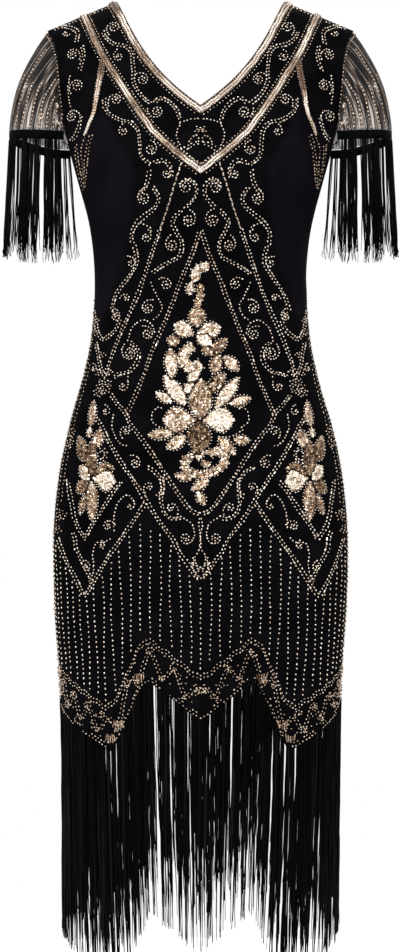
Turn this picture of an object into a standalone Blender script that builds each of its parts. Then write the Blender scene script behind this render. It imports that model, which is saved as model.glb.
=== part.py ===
"""A beaded flapper dress with fringed cap sleeves and a fringed zigzag hem.

The dress is filled out as it is worn and hangs from its shoulders. Metres, +Z up, the front
faces -Y and the wearer's left is +X. The origin is midway between the two points where the
neckline meets the shoulder line. The cloth follows a stack of rings: each ring has a half
width, a front depth and a back depth, and every panel, trim and fringe is read from them.
"""

import math
from collections import namedtuple

import bmesh
import bpy
from mathutils import Vector

FRONT, BACK = -1, 1
LEFT, RIGHT = 1, -1

# Cloth and trims
CLOTH = 0.0015
SEAM_GAP = 0.0003
TRIM_WIDTH = 0.007
TRIM_WALL = 0.001
TRIM_LIFT = 0.0011
FRINGE_WALL = 0.0025
FRINGE_GAP = 0.0008

# Body
ROUNDNESS = 2.3
NECK_HALF_WIDTH = 0.095
NECK_STRAIGHT = 0.6
NECK_CURVE = 3.2
NECK_DEPTH = {FRONT: 0.132, BACK: 0.141}
NECK_MITRE = 1.28
NECK_TRIM_MARGIN = 0.001
NECK_TRIM_STEPS = 14
NECK_TRIM_SPACING = 0.8
SHOULDER_FALL = 0.42
FALL_ENDS = -0.200
UNDERARM = -0.212
HEM_ZONE = -0.700
HEM_ROWS = 3
BODY_ROWS = 11
FRINGE_ROWS = 3
FRINGE_LENGTH = {FRONT: 0.260, BACK: 0.250}

# Sleeves
SLEEVE_GAP = 0.0015
SLEEVE_ROWS = 5
SLEEVE_FULLNESS = 0.25
TAPE_HEIGHT = 0.010
SLEEVE_FRINGE_END = -0.291
SLEEVE_FRINGE_FLARE = 0.008

# Inner face of the cloth at each height, with no fall towards the shoulders.
Ring = namedtuple("Ring", "height half_width front back")
RINGS = (
    Ring(0.000, 0.195, 0.000, 0.000),
    Ring(-0.012, 0.193, 0.022, 0.024),
    Ring(-0.030, 0.190, 0.040, 0.044),
    Ring(-0.060, 0.184, 0.059, 0.064),
    Ring(-0.100, 0.175, 0.078, 0.082),
    Ring(-0.150, 0.159, 0.101, 0.094),
    Ring(-0.185, 0.146, 0.114, 0.095),
    Ring(-0.212, 0.136, 0.118, 0.092),
    Ring(-0.260, 0.124, 0.108, 0.083),
    Ring(-0.315, 0.119, 0.090, 0.073),
    Ring(-0.380, 0.123, 0.092, 0.083),
    Ring(-0.430, 0.133, 0.099, 0.099),
    Ring(-0.480, 0.147, 0.104, 0.111),
    Ring(-0.540, 0.160, 0.108, 0.117),
    Ring(-0.610, 0.166, 0.109, 0.115),
    Ring(-0.690, 0.164, 0.106, 0.108),
    Ring(-0.800, 0.157, 0.104, 0.102),
    Ring(-1.110, 0.154, 0.103, 0.101),
)

# Where the armhole's edge crosses each height.
ArmholeRow = namedtuple("ArmholeRow", "height x")
ARMHOLE = (
    ArmholeRow(0.000, 0.174),
    ArmholeRow(-0.020, 0.166),
    ArmholeRow(-0.050, 0.160),
    ArmholeRow(-0.090, 0.157),
    ArmholeRow(-0.130, 0.153),
    ArmholeRow(-0.170, 0.146),
    ArmholeRow(UNDERARM, 0.136),
)

# Heights of the panel rows above the underarm, closer together where the shoulder turns over.
UPPER_ROWS = (0.0, -0.004, -0.012, -0.028, -0.050, -0.075, -0.100, NECK_DEPTH, -0.160, -0.187, UNDERARM)

# The zigzag hem: how far round from the centre line, as a part of a quarter turn, and how low.
HemCorner = namedtuple("HemCorner", "round_part height columns")
HEM = {
    FRONT: (
        HemCorner(0.000, -0.808, 2),
        HemCorner(0.285, -0.761, 2),
        HemCorner(0.466, -0.843, 4),
        HemCorner(1.000, -0.790, 0),
    ),
    BACK: (
        HemCorner(0.000, -0.778, 2),
        HemCorner(0.285, -0.731, 2),
        HemCorner(0.466, -0.813, 4),
        HemCorner(1.000, -0.790, 0),
    ),
}

# Centre lines of the trims that cross the panels.
TrimPoint = namedtuple("TrimPoint", "x height")
YOKE_LINE = (
    TrimPoint(0.000, -0.207),
    TrimPoint(0.028, -0.185),
    TrimPoint(0.056, -0.156),
    TrimPoint(0.092, -0.099),
    TrimPoint(0.107, -0.070),
    TrimPoint(0.118, -0.043),
    TrimPoint(0.133, 0.000),
)
ARMHOLE_TRIM_LINE = (
    TrimPoint(0.1105, -0.087),
    TrimPoint(0.1135, -0.110),
    TrimPoint(0.1155, -0.133),
    TrimPoint(0.1215, -0.157),
    TrimPoint(0.1275, -0.180),
    TrimPoint(0.1310, -0.200),
)
TRIM_STEPS = 4

# The sleeve's lower edge in plan, from the notch at the front round to the one at the back.
SleevePoint = namedtuple("SleevePoint", "place x y height")
SLEEVE_EDGE = (
    SleevePoint(0.00, 0.156, -0.046, -0.154),
    SleevePoint(0.20, 0.178, -0.060, -0.155),
    SleevePoint(0.36, 0.205, -0.040, -0.149),
    SleevePoint(0.50, 0.2155, 0.000, -0.146),
    SleevePoint(0.64, 0.205, 0.042, -0.149),
    SleevePoint(0.80, 0.177, 0.065, -0.156),
    SleevePoint(1.00, 0.151, 0.054, -0.160),
)


def slope(rows, index, column):
    """Slope of a table's column at one row, from the rows on either side."""
    before, after = rows[max(index - 1, 0)], rows[min(index + 1, len(rows) - 1)]
    return (after[column] - before[column]) / (after[0] - before[0])


def read(rows, key, column):
    """Value of a column where the first column is key, on a smooth curve through the rows."""
    downwards = rows[1][0] < rows[0][0]
    index = 0
    while index < len(rows) - 2 and (key < rows[index + 1][0]) == downwards and key != rows[index + 1][0]:
        index += 1
    start, end = rows[index], rows[index + 1]
    width = end[0] - start[0]
    t = min(max((key - start[0]) / width, 0.0), 1.0)
    rise = t * t * (3 - 2 * t)
    bend_in = t * (1 - t) ** 2 * width * slope(rows, index, column)
    bend_out = t * t * (t - 1) * width * slope(rows, index + 1, column)
    return start[column] * (1 - rise) + end[column] * rise + bend_in + bend_out


def ring_size(height, side):
    """Half width and depth of the ring at a height, on the front or the back."""
    return read(RINGS, height, 1), read(RINGS, height, 2 if side == FRONT else 3)


def surface(angle, height, side):
    """Point of the cloth's inner face, from 0 at the centre line to a quarter turn at the side."""
    half_width, depth = ring_size(height, side)
    x = half_width * math.sin(angle) ** (2 / ROUNDNESS)
    y = depth * max(math.cos(angle), 0.0) ** (2 / ROUNDNESS)
    fall = SHOULDER_FALL * max(x - NECK_HALF_WIDTH, 0.0) * max(1 - height / FALL_ENDS, 0.0)
    return Vector((x, side * max(y, SEAM_GAP / 2), height - fall))


def angle_at(x, height, side):
    """Angle round the ring where the cloth is at a distance x from the centre line."""
    half_width, _ = ring_size(height, side)
    return math.asin(min(x / half_width, 1.0) ** (ROUNDNESS / 2))


def on_cloth(x, height, side):
    """Point of the cloth's inner face at a distance x from the centre line, on either half."""
    point = surface(angle_at(abs(x), height, side), height, side)
    point.x = math.copysign(point.x, x)
    return point


def outward(x, height, side):
    """Direction out of the cloth at a point."""
    step = 0.001
    top = min(height + step, 0.0)
    across = on_cloth(x + step, height, side) - on_cloth(x - step, height, side)
    up = on_cloth(x, top, side) - on_cloth(x, top - 2 * step, side)
    normal = across.cross(up)
    return (normal if side == FRONT else -normal).normalized()


def part_way(height, side, start_x, end_x, part):
    """Point a part of the way along the cloth from start_x to end_x, measured on the cloth."""
    samples = 40
    first, last = angle_at(start_x, height, side), angle_at(end_x, height, side)
    points = [surface(first + (last - first) * i / samples, height, side) for i in range(samples + 1)]
    lengths = [(b - a).length for a, b in zip(points, points[1:])]
    left = part * sum(lengths)
    for start, end, length in zip(points, points[1:], lengths):
        if left <= length:
            return start.lerp(end, left / length)
        left -= length
    return points[-1]


def neck_x(height, side, inset=0.0):
    """Half width of the neckline at a height, or of a line set in from its edge."""
    depth = NECK_DEPTH[side] + NECK_MITRE * inset
    down = min(-height / depth, 1.0)
    narrowing = NECK_STRAIGHT * down + (1 - NECK_STRAIGHT) * down ** NECK_CURVE
    return (NECK_HALF_WIDTH + inset) * (1 - narrowing)


def columns_of(side):
    """Parts of a quarter turn where the columns of a panel stand, with one at each hem corner."""
    parts = []
    for corner, following in zip(HEM[side], HEM[side][1:]):
        width = following.round_part - corner.round_part
        parts += [corner.round_part + width * i / corner.columns for i in range(corner.columns)]
    return parts + [1.0]


def hem_height(part, side):
    """Height of the straight-sided zigzag hem a part of the way round."""
    for start, end in zip(HEM[side], HEM[side][1:]):
        if part <= end.round_part:
            along = (part - start.round_part) / (end.round_part - start.round_part)
            return start.height + (end.height - start.height) * along
    return HEM[side][-1].height


def material(name, colour, roughness, metallic=0.0):
    """A plain material for one sub-part."""
    made = bpy.data.materials.new(name)
    made.use_nodes = True
    shader = made.node_tree.nodes["Principled BSDF"]
    shader.inputs["Base Color"].default_value = (*colour, 1.0)
    shader.inputs["Roughness"].default_value = roughness
    shader.inputs["Metallic"].default_value = metallic
    return made


def sheet(name, columns, rows, place, flip, finish):
    """An open sheet of faces whose vertex at each column and row, counted upwards, is at place()."""
    mesh = bpy.data.meshes.new(name)
    shape = bmesh.new()
    bmesh.ops.create_grid(shape, x_segments=columns, y_segments=rows, size=0.5)
    for vertex in shape.verts:
        column, row = round((vertex.co.x + 0.5) * columns), round((vertex.co.y + 0.5) * rows)
        vertex.co = place(column, row)
    if flip:
        bmesh.ops.reverse_faces(shape, faces=shape.faces)
    shape.to_mesh(mesh)
    shape.free()
    mesh.shade_smooth()
    mesh.materials.append(finish)
    made = bpy.data.objects.new(name, mesh)
    DRESS.objects.link(made)
    return made


def thicken(made, wall, outwards=True):
    """Give an open sheet its wall."""
    solidify = made.modifiers.new("wall", "SOLIDIFY")
    solidify.thickness = wall
    solidify.offset = 1.0 if outwards else -1.0


def mirror(made):
    """Complete a half that is open at the centre line."""
    modifier = made.modifiers.new("other_half", "MIRROR")
    modifier.use_axis = (True, False, False)
    modifier.merge_threshold = 0.0001


def panel_rows(side):
    """Heights of a panel's rows from the hem zone up to the shoulder."""
    step = (HEM_ZONE - UNDERARM) / BODY_ROWS
    lower = [HEM_ZONE - step * i for i in range(BODY_ROWS)]
    upper = [-row[side] if row is NECK_DEPTH else row for row in reversed(UPPER_ROWS)]
    return lower + upper


def body_panel(name, side, finish):
    """The front or the back: from the shoulder and neckline down to the zigzag hem."""
    parts, heights = columns_of(side), panel_rows(side)

    def place(column, row):
        part = parts[column]
        if row < HEM_ROWS:
            hem = hem_height(part, side)
            height = hem + (HEM_ZONE - hem) * row / HEM_ROWS
        else:
            height = heights[row - HEM_ROWS]
        start_x = neck_x(height, side)
        end_x = read(ARMHOLE, height, 1) if height > UNDERARM else ring_size(height, side)[0]
        return part_way(height, side, start_x, end_x, part)

    made = sheet(name, len(parts) - 1, HEM_ROWS + len(heights) - 1, place, side == BACK, finish)
    mirror(made)
    thicken(made, CLOTH)


def hem_fringe(name, side, finish):
    """The reach of the hem's fringe, which hangs under one panel."""
    parts = columns_of(side)

    def place(column, row):
        part = parts[column]
        top = hem_height(part, side) - FRINGE_GAP
        height = top - FRINGE_LENGTH[side] * (FRINGE_ROWS - row) / FRINGE_ROWS
        return part_way(height, side, 0.0, ring_size(height, side)[0], part)

    made = sheet(name, len(parts) - 1, FRINGE_ROWS, place, side == BACK, finish)
    mirror(made)
    thicken(made, FRINGE_WALL)


def lifted(x, height, side):
    """Point just clear of the cloth's outer face."""
    return on_cloth(x, height, side) + outward(x, height, side) * (CLOTH + TRIM_LIFT)


def neck_trim(name, side, finish):
    """The band along one side of the neckline, both halves in one piece."""
    def place(column, row):
        inset = NECK_TRIM_MARGIN + TRIM_WIDTH * (1 - row)
        down = 1 - (column / NECK_TRIM_STEPS) ** NECK_TRIM_SPACING
        height = -(NECK_DEPTH[side] + NECK_MITRE * inset) * down
        return lifted(neck_x(height, side, inset), height, side)

    made = sheet(name, NECK_TRIM_STEPS, 1, place, side == BACK, finish)
    mirror(made)
    thicken(made, TRIM_WALL)


def trim_route(line):
    """Points along a trim's centre line on a smooth curve, each with its direction."""
    spans = len(line) - 1
    rows = [(i, point.x, point.height) for i, point in enumerate(line)]
    route = []
    for i in range(spans * TRIM_STEPS + 1):
        t = i / TRIM_STEPS
        here = Vector((read(rows, t, 1), read(rows, t, 2)))
        ahead = Vector((read(rows, min(t + 0.01, spans), 1), read(rows, min(t + 0.01, spans), 2)))
        behind = Vector((read(rows, max(t - 0.01, 0), 1), read(rows, max(t - 0.01, 0), 2)))
        route.append((here, (ahead - behind).normalized()))
    return route


def crossing_trim(name, side, hand, line, finish):
    """A band across a panel. A line that starts on the centre line gives both halves at once."""
    route = trim_route(line)
    meets_centre = line[0].x == 0.0

    def place(column, row):
        here, along = route[column]
        offset = TRIM_WIDTH * (row - 0.5)
        if meets_centre and column == 0:
            shift = Vector((0.0, offset / along.x))
        else:
            shift = Vector((-along.y, along.x)) * offset
        height = min(here.y + shift.y, 0.0)
        return lifted(hand * (here.x + shift.x), height, side)

    made = sheet(name, len(route) - 1, 1, place, side * hand > 0, finish)
    if meets_centre:
        mirror(made)
    thicken(made, TRIM_WALL)


def armhole_points(hand):
    """The armhole's edge at each panel row, from the front notch over the shoulder to the back.

    The notches, where the sleeve leaves the armhole, are level with the bottom of the V.
    """
    points = []
    for side in (FRONT, BACK):
        heights = [height for height in panel_rows(side) if height >= -NECK_DEPTH[side]]
        if side == BACK:
            heights = heights[-2::-1]
        points += [on_cloth(read(ARMHOLE, height, 1), height, side) for height in heights]
    for point in points:
        point.x = hand * (point.x + SLEEVE_GAP)
        point.y = 0.0 if point.z == points[len(points) // 2].z else point.y
    return points


def sleeve_edge_points(hand):
    """The sleeve's lower edge, with a point under each point of the armhole."""
    armhole = armhole_points(hand)
    lengths = [0.0]
    for start, end in zip(armhole, armhole[1:]):
        lengths.append(lengths[-1] + (end - start).length)
    places = [length / lengths[-1] for length in lengths]
    return [Vector((hand * read(SLEEVE_EDGE, place, 1), read(SLEEVE_EDGE, place, 2),
                    read(SLEEVE_EDGE, place, 3))) for place in places]


def sleeve(name, hand, finish):
    """A cap sleeve: it springs out from the armhole, turns down and is open under the arm."""
    armhole, edge = armhole_points(hand), sleeve_edge_points(hand)

    def place(column, row):
        top, end = armhole[column], edge[column]
        turn = Vector((end.x, end.y, top.z + SLEEVE_FULLNESS * (end.z - top.z)))
        t = 1 - row / SLEEVE_ROWS
        return top * (1 - t) ** 2 + turn * 2 * t * (1 - t) + end * t * t

    made = sheet(name, len(edge) - 1, SLEEVE_ROWS, place, hand == RIGHT, finish)
    thicken(made, CLOTH, outwards=False)


def sleeve_strip(name, hand, top_drop, bottom_height, flare, wall, finish):
    """A strip that hangs from the sleeve's lower edge: the fringe's tape or its reach."""
    edge = sleeve_edge_points(hand)

    def place(column, row):
        point = edge[column].copy()
        top = point.z - top_drop
        end = bottom_height if bottom_height else top - TAPE_HEIGHT
        drop = 1 - row
        outwards = Vector((point.x - hand * SLEEVE_EDGE[0].x, point.y, 0.0)).normalized()
        point += outwards * flare * drop
        point.z = top + (end - top) * drop
        return point

    made = sheet(name, len(edge) - 1, 1, place, hand == RIGHT, finish)
    thicken(made, wall, outwards=False)


def build():
    """Every piece that is cut and sewn on."""
    cloth = material("beaded_cloth", (0.012, 0.010, 0.012), 0.75)
    net = material("sleeve_net", (0.10, 0.08, 0.07), 0.7)
    gold = material("gold_trim", (0.62, 0.45, 0.28), 0.35, 0.7)
    tape = material("fringe_tape", (0.010, 0.009, 0.010), 0.8)
    strands = material("fringe_strands", (0.008, 0.008, 0.009), 0.55)

    for side, word in ((FRONT, "front"), (BACK, "back")):
        body_panel(f"{word}_panel", side, cloth)
        neck_trim(f"neck_trim_{word}", side, gold)
        crossing_trim(f"yoke_trim_{word}", side, LEFT, YOKE_LINE, gold)
        hem_fringe(f"hem_fringe_{word}", side, strands)
        for hand, hand_word in ((LEFT, "left"), (RIGHT, "right")):
            crossing_trim(f"armhole_trim_{word}_{hand_word}", side, hand, ARMHOLE_TRIM_LINE, gold)

    for hand, word in ((LEFT, "left"), (RIGHT, "right")):
        sleeve(f"sleeve_{word}", hand, net)
        sleeve_strip(f"sleeve_tape_{word}", hand, SLEEVE_GAP, None, 0.0, CLOTH, tape)
        fringe_top = TAPE_HEIGHT + 2 * SLEEVE_GAP
        sleeve_strip(f"sleeve_fringe_{word}", hand, fringe_top, SLEEVE_FRINGE_END,
                     SLEEVE_FRINGE_FLARE, FRINGE_WALL, strands)


for existing in list(bpy.data.objects):
    bpy.data.objects.remove(existing, do_unlink=True)
DRESS = bpy.data.collections.new("flapper_dress")
bpy.context.scene.collection.children.link(DRESS)
build()
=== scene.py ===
"""Looks of a beaded flapper dress: black cloth with gold beadwork, net cap sleeves, long fringe.

The dress hangs filled out, as it is worn. Metres, +Z up, the front faces -Y and the wearer's left
is +X. The pattern of the beadwork is laid out in millimetres, as (out from the centre line, up from
the neck points), and is sewn on both halves of the front and of the back.
"""

import logging
import math
import random
from collections.abc import Callable, Iterator, Sequence
from dataclasses import dataclass, field
from enum import Enum
from functools import lru_cache
from typing import NamedTuple

import bmesh
import bpy
from mathutils import Matrix, Vector, noise


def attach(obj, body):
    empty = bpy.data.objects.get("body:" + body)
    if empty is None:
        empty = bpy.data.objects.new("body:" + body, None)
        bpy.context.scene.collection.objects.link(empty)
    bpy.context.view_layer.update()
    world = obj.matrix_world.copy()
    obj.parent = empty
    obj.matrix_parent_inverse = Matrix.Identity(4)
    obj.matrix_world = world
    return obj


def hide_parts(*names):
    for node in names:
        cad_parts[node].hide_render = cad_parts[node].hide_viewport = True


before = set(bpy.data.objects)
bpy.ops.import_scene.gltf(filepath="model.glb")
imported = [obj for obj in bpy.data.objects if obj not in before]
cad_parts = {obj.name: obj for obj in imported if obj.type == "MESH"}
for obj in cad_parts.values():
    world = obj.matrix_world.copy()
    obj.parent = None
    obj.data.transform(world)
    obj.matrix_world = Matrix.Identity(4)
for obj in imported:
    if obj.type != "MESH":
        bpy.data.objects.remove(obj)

log = logging.getLogger("flapper_dress")
MM = 0.001
BODY = "root"
WHOLE_TURN = 6.28       # near enough, for angles left to chance
SPREAD_TURN = 2.4       # from each bead of a cluster to the next, so that they don't line up
Spot = tuple[float, float]
Size = tuple[float, float, float]
Colour = tuple[float, float, float]
Wrap = Callable[[float, float], Spot]


class Named(Enum):
    """A choice whose name is a word in piece names."""

    @property
    def word(self) -> str:
        """Its name in piece names."""
        return self.name.lower()


class Side(Named):
    """The front or the back of the dress, by the sign of its Y."""

    FRONT = -1
    BACK = 1


class Hand(Named):
    """The wearer's left or right, by the sign of its X."""

    LEFT = 1
    RIGHT = -1


class Ring(NamedTuple):
    """The inner face of the cloth at one height."""

    height: float
    half_width: float
    front: float
    back: float


class ArmholeRow(NamedTuple):
    """Where the armhole's edge crosses one height."""

    height: float
    x: float


class HemCorner(NamedTuple):
    """A corner of the zigzag hem, as a part of a quarter turn from the centre line."""

    part: float
    height: float
    columns: int


class SleevePoint(NamedTuple):
    """A point of the sleeve's lower edge, from the front notch round to the back one."""

    place: float
    x: float
    y: float
    height: float


class Fold(NamedTuple):
    """A soft fold in a panel: a ridge where its depth is positive and a trough where not."""

    x: float
    lean: float
    top: float
    bottom: float
    depth: float
    width: float


RINGS = (
    Ring(0.000, 0.195, 0.000, 0.000),
    Ring(-0.012, 0.193, 0.022, 0.024),
    Ring(-0.030, 0.190, 0.040, 0.044),
    Ring(-0.060, 0.184, 0.059, 0.064),
    Ring(-0.100, 0.175, 0.078, 0.082),
    Ring(-0.150, 0.159, 0.101, 0.094),
    Ring(-0.185, 0.146, 0.114, 0.095),
    Ring(-0.212, 0.136, 0.118, 0.092),
    Ring(-0.260, 0.124, 0.108, 0.083),
    Ring(-0.315, 0.119, 0.090, 0.073),
    Ring(-0.380, 0.123, 0.092, 0.083),
    Ring(-0.430, 0.133, 0.099, 0.099),
    Ring(-0.480, 0.147, 0.104, 0.111),
    Ring(-0.540, 0.160, 0.108, 0.117),
    Ring(-0.610, 0.166, 0.109, 0.115),
    Ring(-0.690, 0.164, 0.106, 0.108),
    Ring(-0.800, 0.157, 0.104, 0.102),
    Ring(-1.110, 0.154, 0.103, 0.101),
)
ARMHOLE = (
    ArmholeRow(0.000, 0.174),
    ArmholeRow(-0.020, 0.166),
    ArmholeRow(-0.050, 0.160),
    ArmholeRow(-0.090, 0.157),
    ArmholeRow(-0.130, 0.153),
    ArmholeRow(-0.170, 0.146),
    ArmholeRow(-0.212, 0.136),
)
HEM = {
    Side.FRONT: (
        HemCorner(0.000, -0.808, 14),
        HemCorner(0.285, -0.761, 11),
        HemCorner(0.466, -0.843, 26),
        HemCorner(1.000, -0.790, 0),
    ),
    Side.BACK: (
        HemCorner(0.000, -0.778, 14),
        HemCorner(0.285, -0.731, 11),
        HemCorner(0.466, -0.813, 26),
        HemCorner(1.000, -0.790, 0),
    ),
}
YOKE_LINE: tuple[Spot, ...] = (
    (0.000, -0.207), (0.028, -0.185), (0.056, -0.156), (0.092, -0.099), (0.107, -0.070),
    (0.118, -0.043), (0.133, 0.000),
)
ARMHOLE_BAND_LINE: tuple[Spot, ...] = (
    (0.1080, -0.0740), (0.1102, -0.0904), (0.1122, -0.1012), (0.1136, -0.1112), (0.1152, -0.1224),
    (0.1170, -0.1335), (0.1196, -0.1407), (0.1226, -0.1488), (0.1260, -0.1581),
)
SLEEVE_EDGE = (
    SleevePoint(0.00, 0.153, -0.046, -0.152),
    SleevePoint(0.20, 0.179, -0.060, -0.153),
    SleevePoint(0.36, 0.207, -0.040, -0.150),
    SleevePoint(0.50, 0.2180, 0.000, -0.148),
    SleevePoint(0.64, 0.207, 0.042, -0.150),
    SleevePoint(0.80, 0.177, 0.065, -0.156),
    SleevePoint(1.00, 0.151, 0.054, -0.160),
)
FOLDS = (
    Fold(0.100, 0.10, -0.225, -0.345, 0.0022, 0.010),
    Fold(0.112, 0.06, -0.240, -0.330, -0.0016, 0.008),
    Fold(0.088, 0.14, -0.215, -0.330, -0.0018, 0.009),
    Fold(-0.104, 0.12, -0.230, -0.350, 0.0020, 0.009),
    Fold(-0.091, 0.10, -0.220, -0.335, -0.0020, 0.010),
    Fold(0.134, 0.00, -0.470, -0.830, 0.0024, 0.016),
    Fold(0.071, -0.02, -0.560, -0.840, -0.0018, 0.015),
    Fold(0.022, 0.01, -0.590, -0.830, 0.0014, 0.012),
    Fold(-0.038, 0.02, -0.580, -0.830, -0.0018, 0.014),
    Fold(-0.084, -0.03, -0.540, -0.840, 0.0020, 0.017),
    Fold(-0.139, 0.00, -0.480, -0.830, -0.0022, 0.014),
)


def clamped(value: float, low: float = 0.0, high: float = 1.0) -> float:
    """The value, or the nearer limit where it is beyond one."""
    return min(max(value, low), high)


def beside(spot: Spot, ahead: Spot, offset: float) -> Spot:
    """A place to the left of a direction, by an offset."""
    return spot[0] - ahead[1] * offset, spot[1] + ahead[0] * offset


def slope(rows: Sequence[tuple], index: int, column: int) -> float:
    """Slope of a table's column at one row.

    Args:
        rows: The table, whose first column is its key.
        index: The row.
        column: The column.

    Returns:
        The slope from the rows on either side.
    """
    before, after = rows[max(index - 1, 0)], rows[min(index + 1, len(rows) - 1)]
    return (after[column] - before[column]) / (after[0] - before[0])


def read(rows: Sequence[tuple], key: float, column: int) -> float:
    """Value of a table's column on a smooth curve through its rows.

    Args:
        rows: The table, whose first column is its key.
        key: Where the first column is read.
        column: The column.

    Returns:
        The value there.
    """
    downwards = rows[1][0] < rows[0][0]
    index = 0
    while index < len(rows) - 2 and (key < rows[index + 1][0]) == downwards and key != rows[index + 1][0]:
        index += 1
    start, end = rows[index], rows[index + 1]
    width = end[0] - start[0]
    t = clamped((key - start[0]) / width)
    rise = t * t * (3 - 2 * t)
    bend_in = t * (1 - t) ** 2 * width * slope(rows, index, column)
    bend_out = t * t * (t - 1) * width * slope(rows, index + 1, column)
    return start[column] * (1 - rise) + end[column] * rise + bend_in + bend_out


def smooth_line(spots: Sequence[Spot], steps: int = 8) -> list[Spot]:
    """A smooth curve through a few spots.

    Args:
        spots: The spots in order.
        steps: How many stretches each span is cut into.

    Returns:
        The spots along the curve.
    """
    rows = [(i, x, z) for i, (x, z) in enumerate(spots)]
    last = len(rows) - 1
    count = last * steps
    return [(read(rows, i * last / count, 1), read(rows, i * last / count, 2)) for i in range(count + 1)]


def running(points: Sequence[Vector]) -> list[float]:
    """Lengths along a line, from 0 at its first point."""
    lengths = [0.0]
    for start, end in zip(points, points[1:]):
        lengths.append(lengths[-1] + (end - start).length)
    return lengths


def part_along(points: Sequence[Vector], lengths: Sequence[float], part: float) -> Vector:
    """Point a part of the way along a line.

    Args:
        points: The line.
        lengths: Its running lengths.
        part: The part of its whole length.

    Returns:
        The point.
    """
    goal = part * lengths[-1]
    index = 0
    while index < len(points) - 2 and lengths[index + 1] < goal:
        index += 1
    span = lengths[index + 1] - lengths[index]
    return points[index].lerp(points[index + 1], (goal - lengths[index]) / span if span else 0.0)


@dataclass(frozen=True)
class DressForm:
    """The filled-out shape that every piece of the dress follows."""

    cloth: float = 0.0015
    seam_gap: float = 0.0003
    roundness: float = 2.3
    neck_half_width: float = 0.095
    neck_straight: float = 0.6
    neck_curve: float = 3.2
    neck_mitre: float = 1.28
    front_neck: float = 0.132
    back_neck: float = 0.141
    shoulder_fall: float = 0.42
    fall_ends: float = -0.200
    underarm: float = -0.212
    samples: int = 48

    def neck_depth(self, side: Side) -> float:
        """How deep the V is on one side."""
        return self.front_neck if side is Side.FRONT else self.back_neck

    def ring_size(self, height: float, side: Side) -> tuple[float, float]:
        """Half width and depth of the ring at a height."""
        return read(RINGS, height, 1), read(RINGS, height, 2 if side is Side.FRONT else 3)

    def on_ring(self, angle: float, size: tuple[float, float], height: float, side: Side) -> Vector:
        """Point of a ring, from 0 at the centre line to a quarter turn at the side.

        Args:
            angle: The angle round the ring.
            size: The ring's half width and depth.
            height: The ring's height.
            side: Front or back.

        Returns:
            The point of the cloth's inner face.
        """
        half_width, depth = size
        x = half_width * math.sin(angle) ** (2 / self.roundness)
        y = depth * max(math.cos(angle), 0.0) ** (2 / self.roundness)
        fall = self.shoulder_fall * max(x - self.neck_half_width, 0.0)
        fall *= max(1 - height / self.fall_ends, 0.0)
        return Vector((x, side.value * max(y, self.seam_gap / 2), height - fall))

    def angle_at(self, x: float, half_width: float) -> float:
        """Angle round a ring where it is x from the centre line."""
        return math.asin(min(x / half_width, 1.0) ** (self.roundness / 2))

    def bare(self, x: float, height: float, side: Side) -> Vector:
        """Point of the uncreased inner face at x, on either half."""
        size = self.ring_size(height, side)
        point = self.on_ring(self.angle_at(abs(x), size[0]), size, height, side)
        point.x = math.copysign(point.x, x)
        return point

    def outward(self, x: float, height: float, side: Side) -> Vector:
        """Direction out of the cloth at a point.

        Args:
            x: Distance from the centre line, with its sign.
            height: The ring's height.
            side: Front or back.

        Returns:
            The direction, one unit long.
        """
        step = 0.0015
        reach = self.ring_size(height, side)[0] - 2 * step
        near = clamped(x, -reach, reach)
        top = min(height + step, 0.0)
        across = self.bare(near + step, height, side) - self.bare(near - step, height, side)
        up = self.bare(near, top, side) - self.bare(near, top - 2 * step, side)
        normal = across.cross(up)
        return (normal if side is Side.FRONT else -normal).normalized()

    def crease(self, x: float, height: float, side: Side) -> float:
        """How far the cloth stands off its plain form.

        Args:
            x: Distance from the centre line, with its sign.
            height: Height before the shoulder's fall.
            side: Front or back.

        Returns:
            The distance outwards in metres, negative in a trough.
        """
        mirrored = x if side is Side.FRONT else -x
        total = 0.0
        for fold in FOLDS:
            along = (height - fold.bottom) / (fold.top - fold.bottom)
            if 0.0 < along < 1.0:
                off = (mirrored - fold.x - fold.lean * (fold.top - height)) / fold.width
                total += fold.depth * math.sin(math.pi * along) ** 0.7 * math.exp(-off * off)
        free = clamped((-height - 0.20) / 0.15)
        wave = noise.noise(Vector((x * 22, height * 5, 3.0 * side.value)))
        ripple = noise.noise(Vector((x * 70, height * 14, 9.0 + side.value)))
        return total + free * (0.0022 * wave + 0.0006 * ripple)

    def height_of(self, x: float, z: float) -> float:
        """Height of the ring through a place that is seen at height z, before the shoulder's fall."""
        fall = self.shoulder_fall * max(abs(x) - self.neck_half_width, 0.0)
        height = (z + fall) / (1 + fall / self.fall_ends) if z > self.fall_ends else z
        return min(height, -0.0004)

    def at(self, x: float, z: float, side: Side, lift: float = 0.0) -> tuple[Vector, Vector]:
        """A place on the creased cloth as it is seen from the front or the back.

        Args:
            x: Distance from the centre line, with its sign.
            z: Height.
            side: Front or back.
            lift: Distance out from the cloth's outer face.

        Returns:
            The point and the direction out of the cloth.
        """
        height = self.height_of(x, z)
        out = self.outward(x, height, side)
        stand = self.cloth + lift + self.crease(x, height, side)
        return self.bare(x, height, side) + out * stand, out

    @lru_cache(maxsize=8192)
    def arc(self, height: float, side: Side, start_x: float,
            end_x: float) -> tuple[list[Vector], list[float]]:
        """Points along a ring between two distances from the centre line.

        Args:
            height: The ring's height.
            side: Front or back.
            start_x: The distance where it starts.
            end_x: The distance where it ends.

        Returns:
            The points and their running lengths.
        """
        size = self.ring_size(height, side)
        first, last = self.angle_at(start_x, size[0]), self.angle_at(end_x, size[0])
        turns = [first + (last - first) * i / self.samples for i in range(self.samples + 1)]
        points = [self.on_ring(turn, size, height, side) for turn in turns]
        return points, running(points)

    def part_way(self, height: float, side: Side, start_x: float, end_x: float, part: float) -> Vector:
        """Point a part of the way along a ring, measured on the cloth."""
        return part_along(*self.arc(height, side, start_x, end_x), part)

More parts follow.
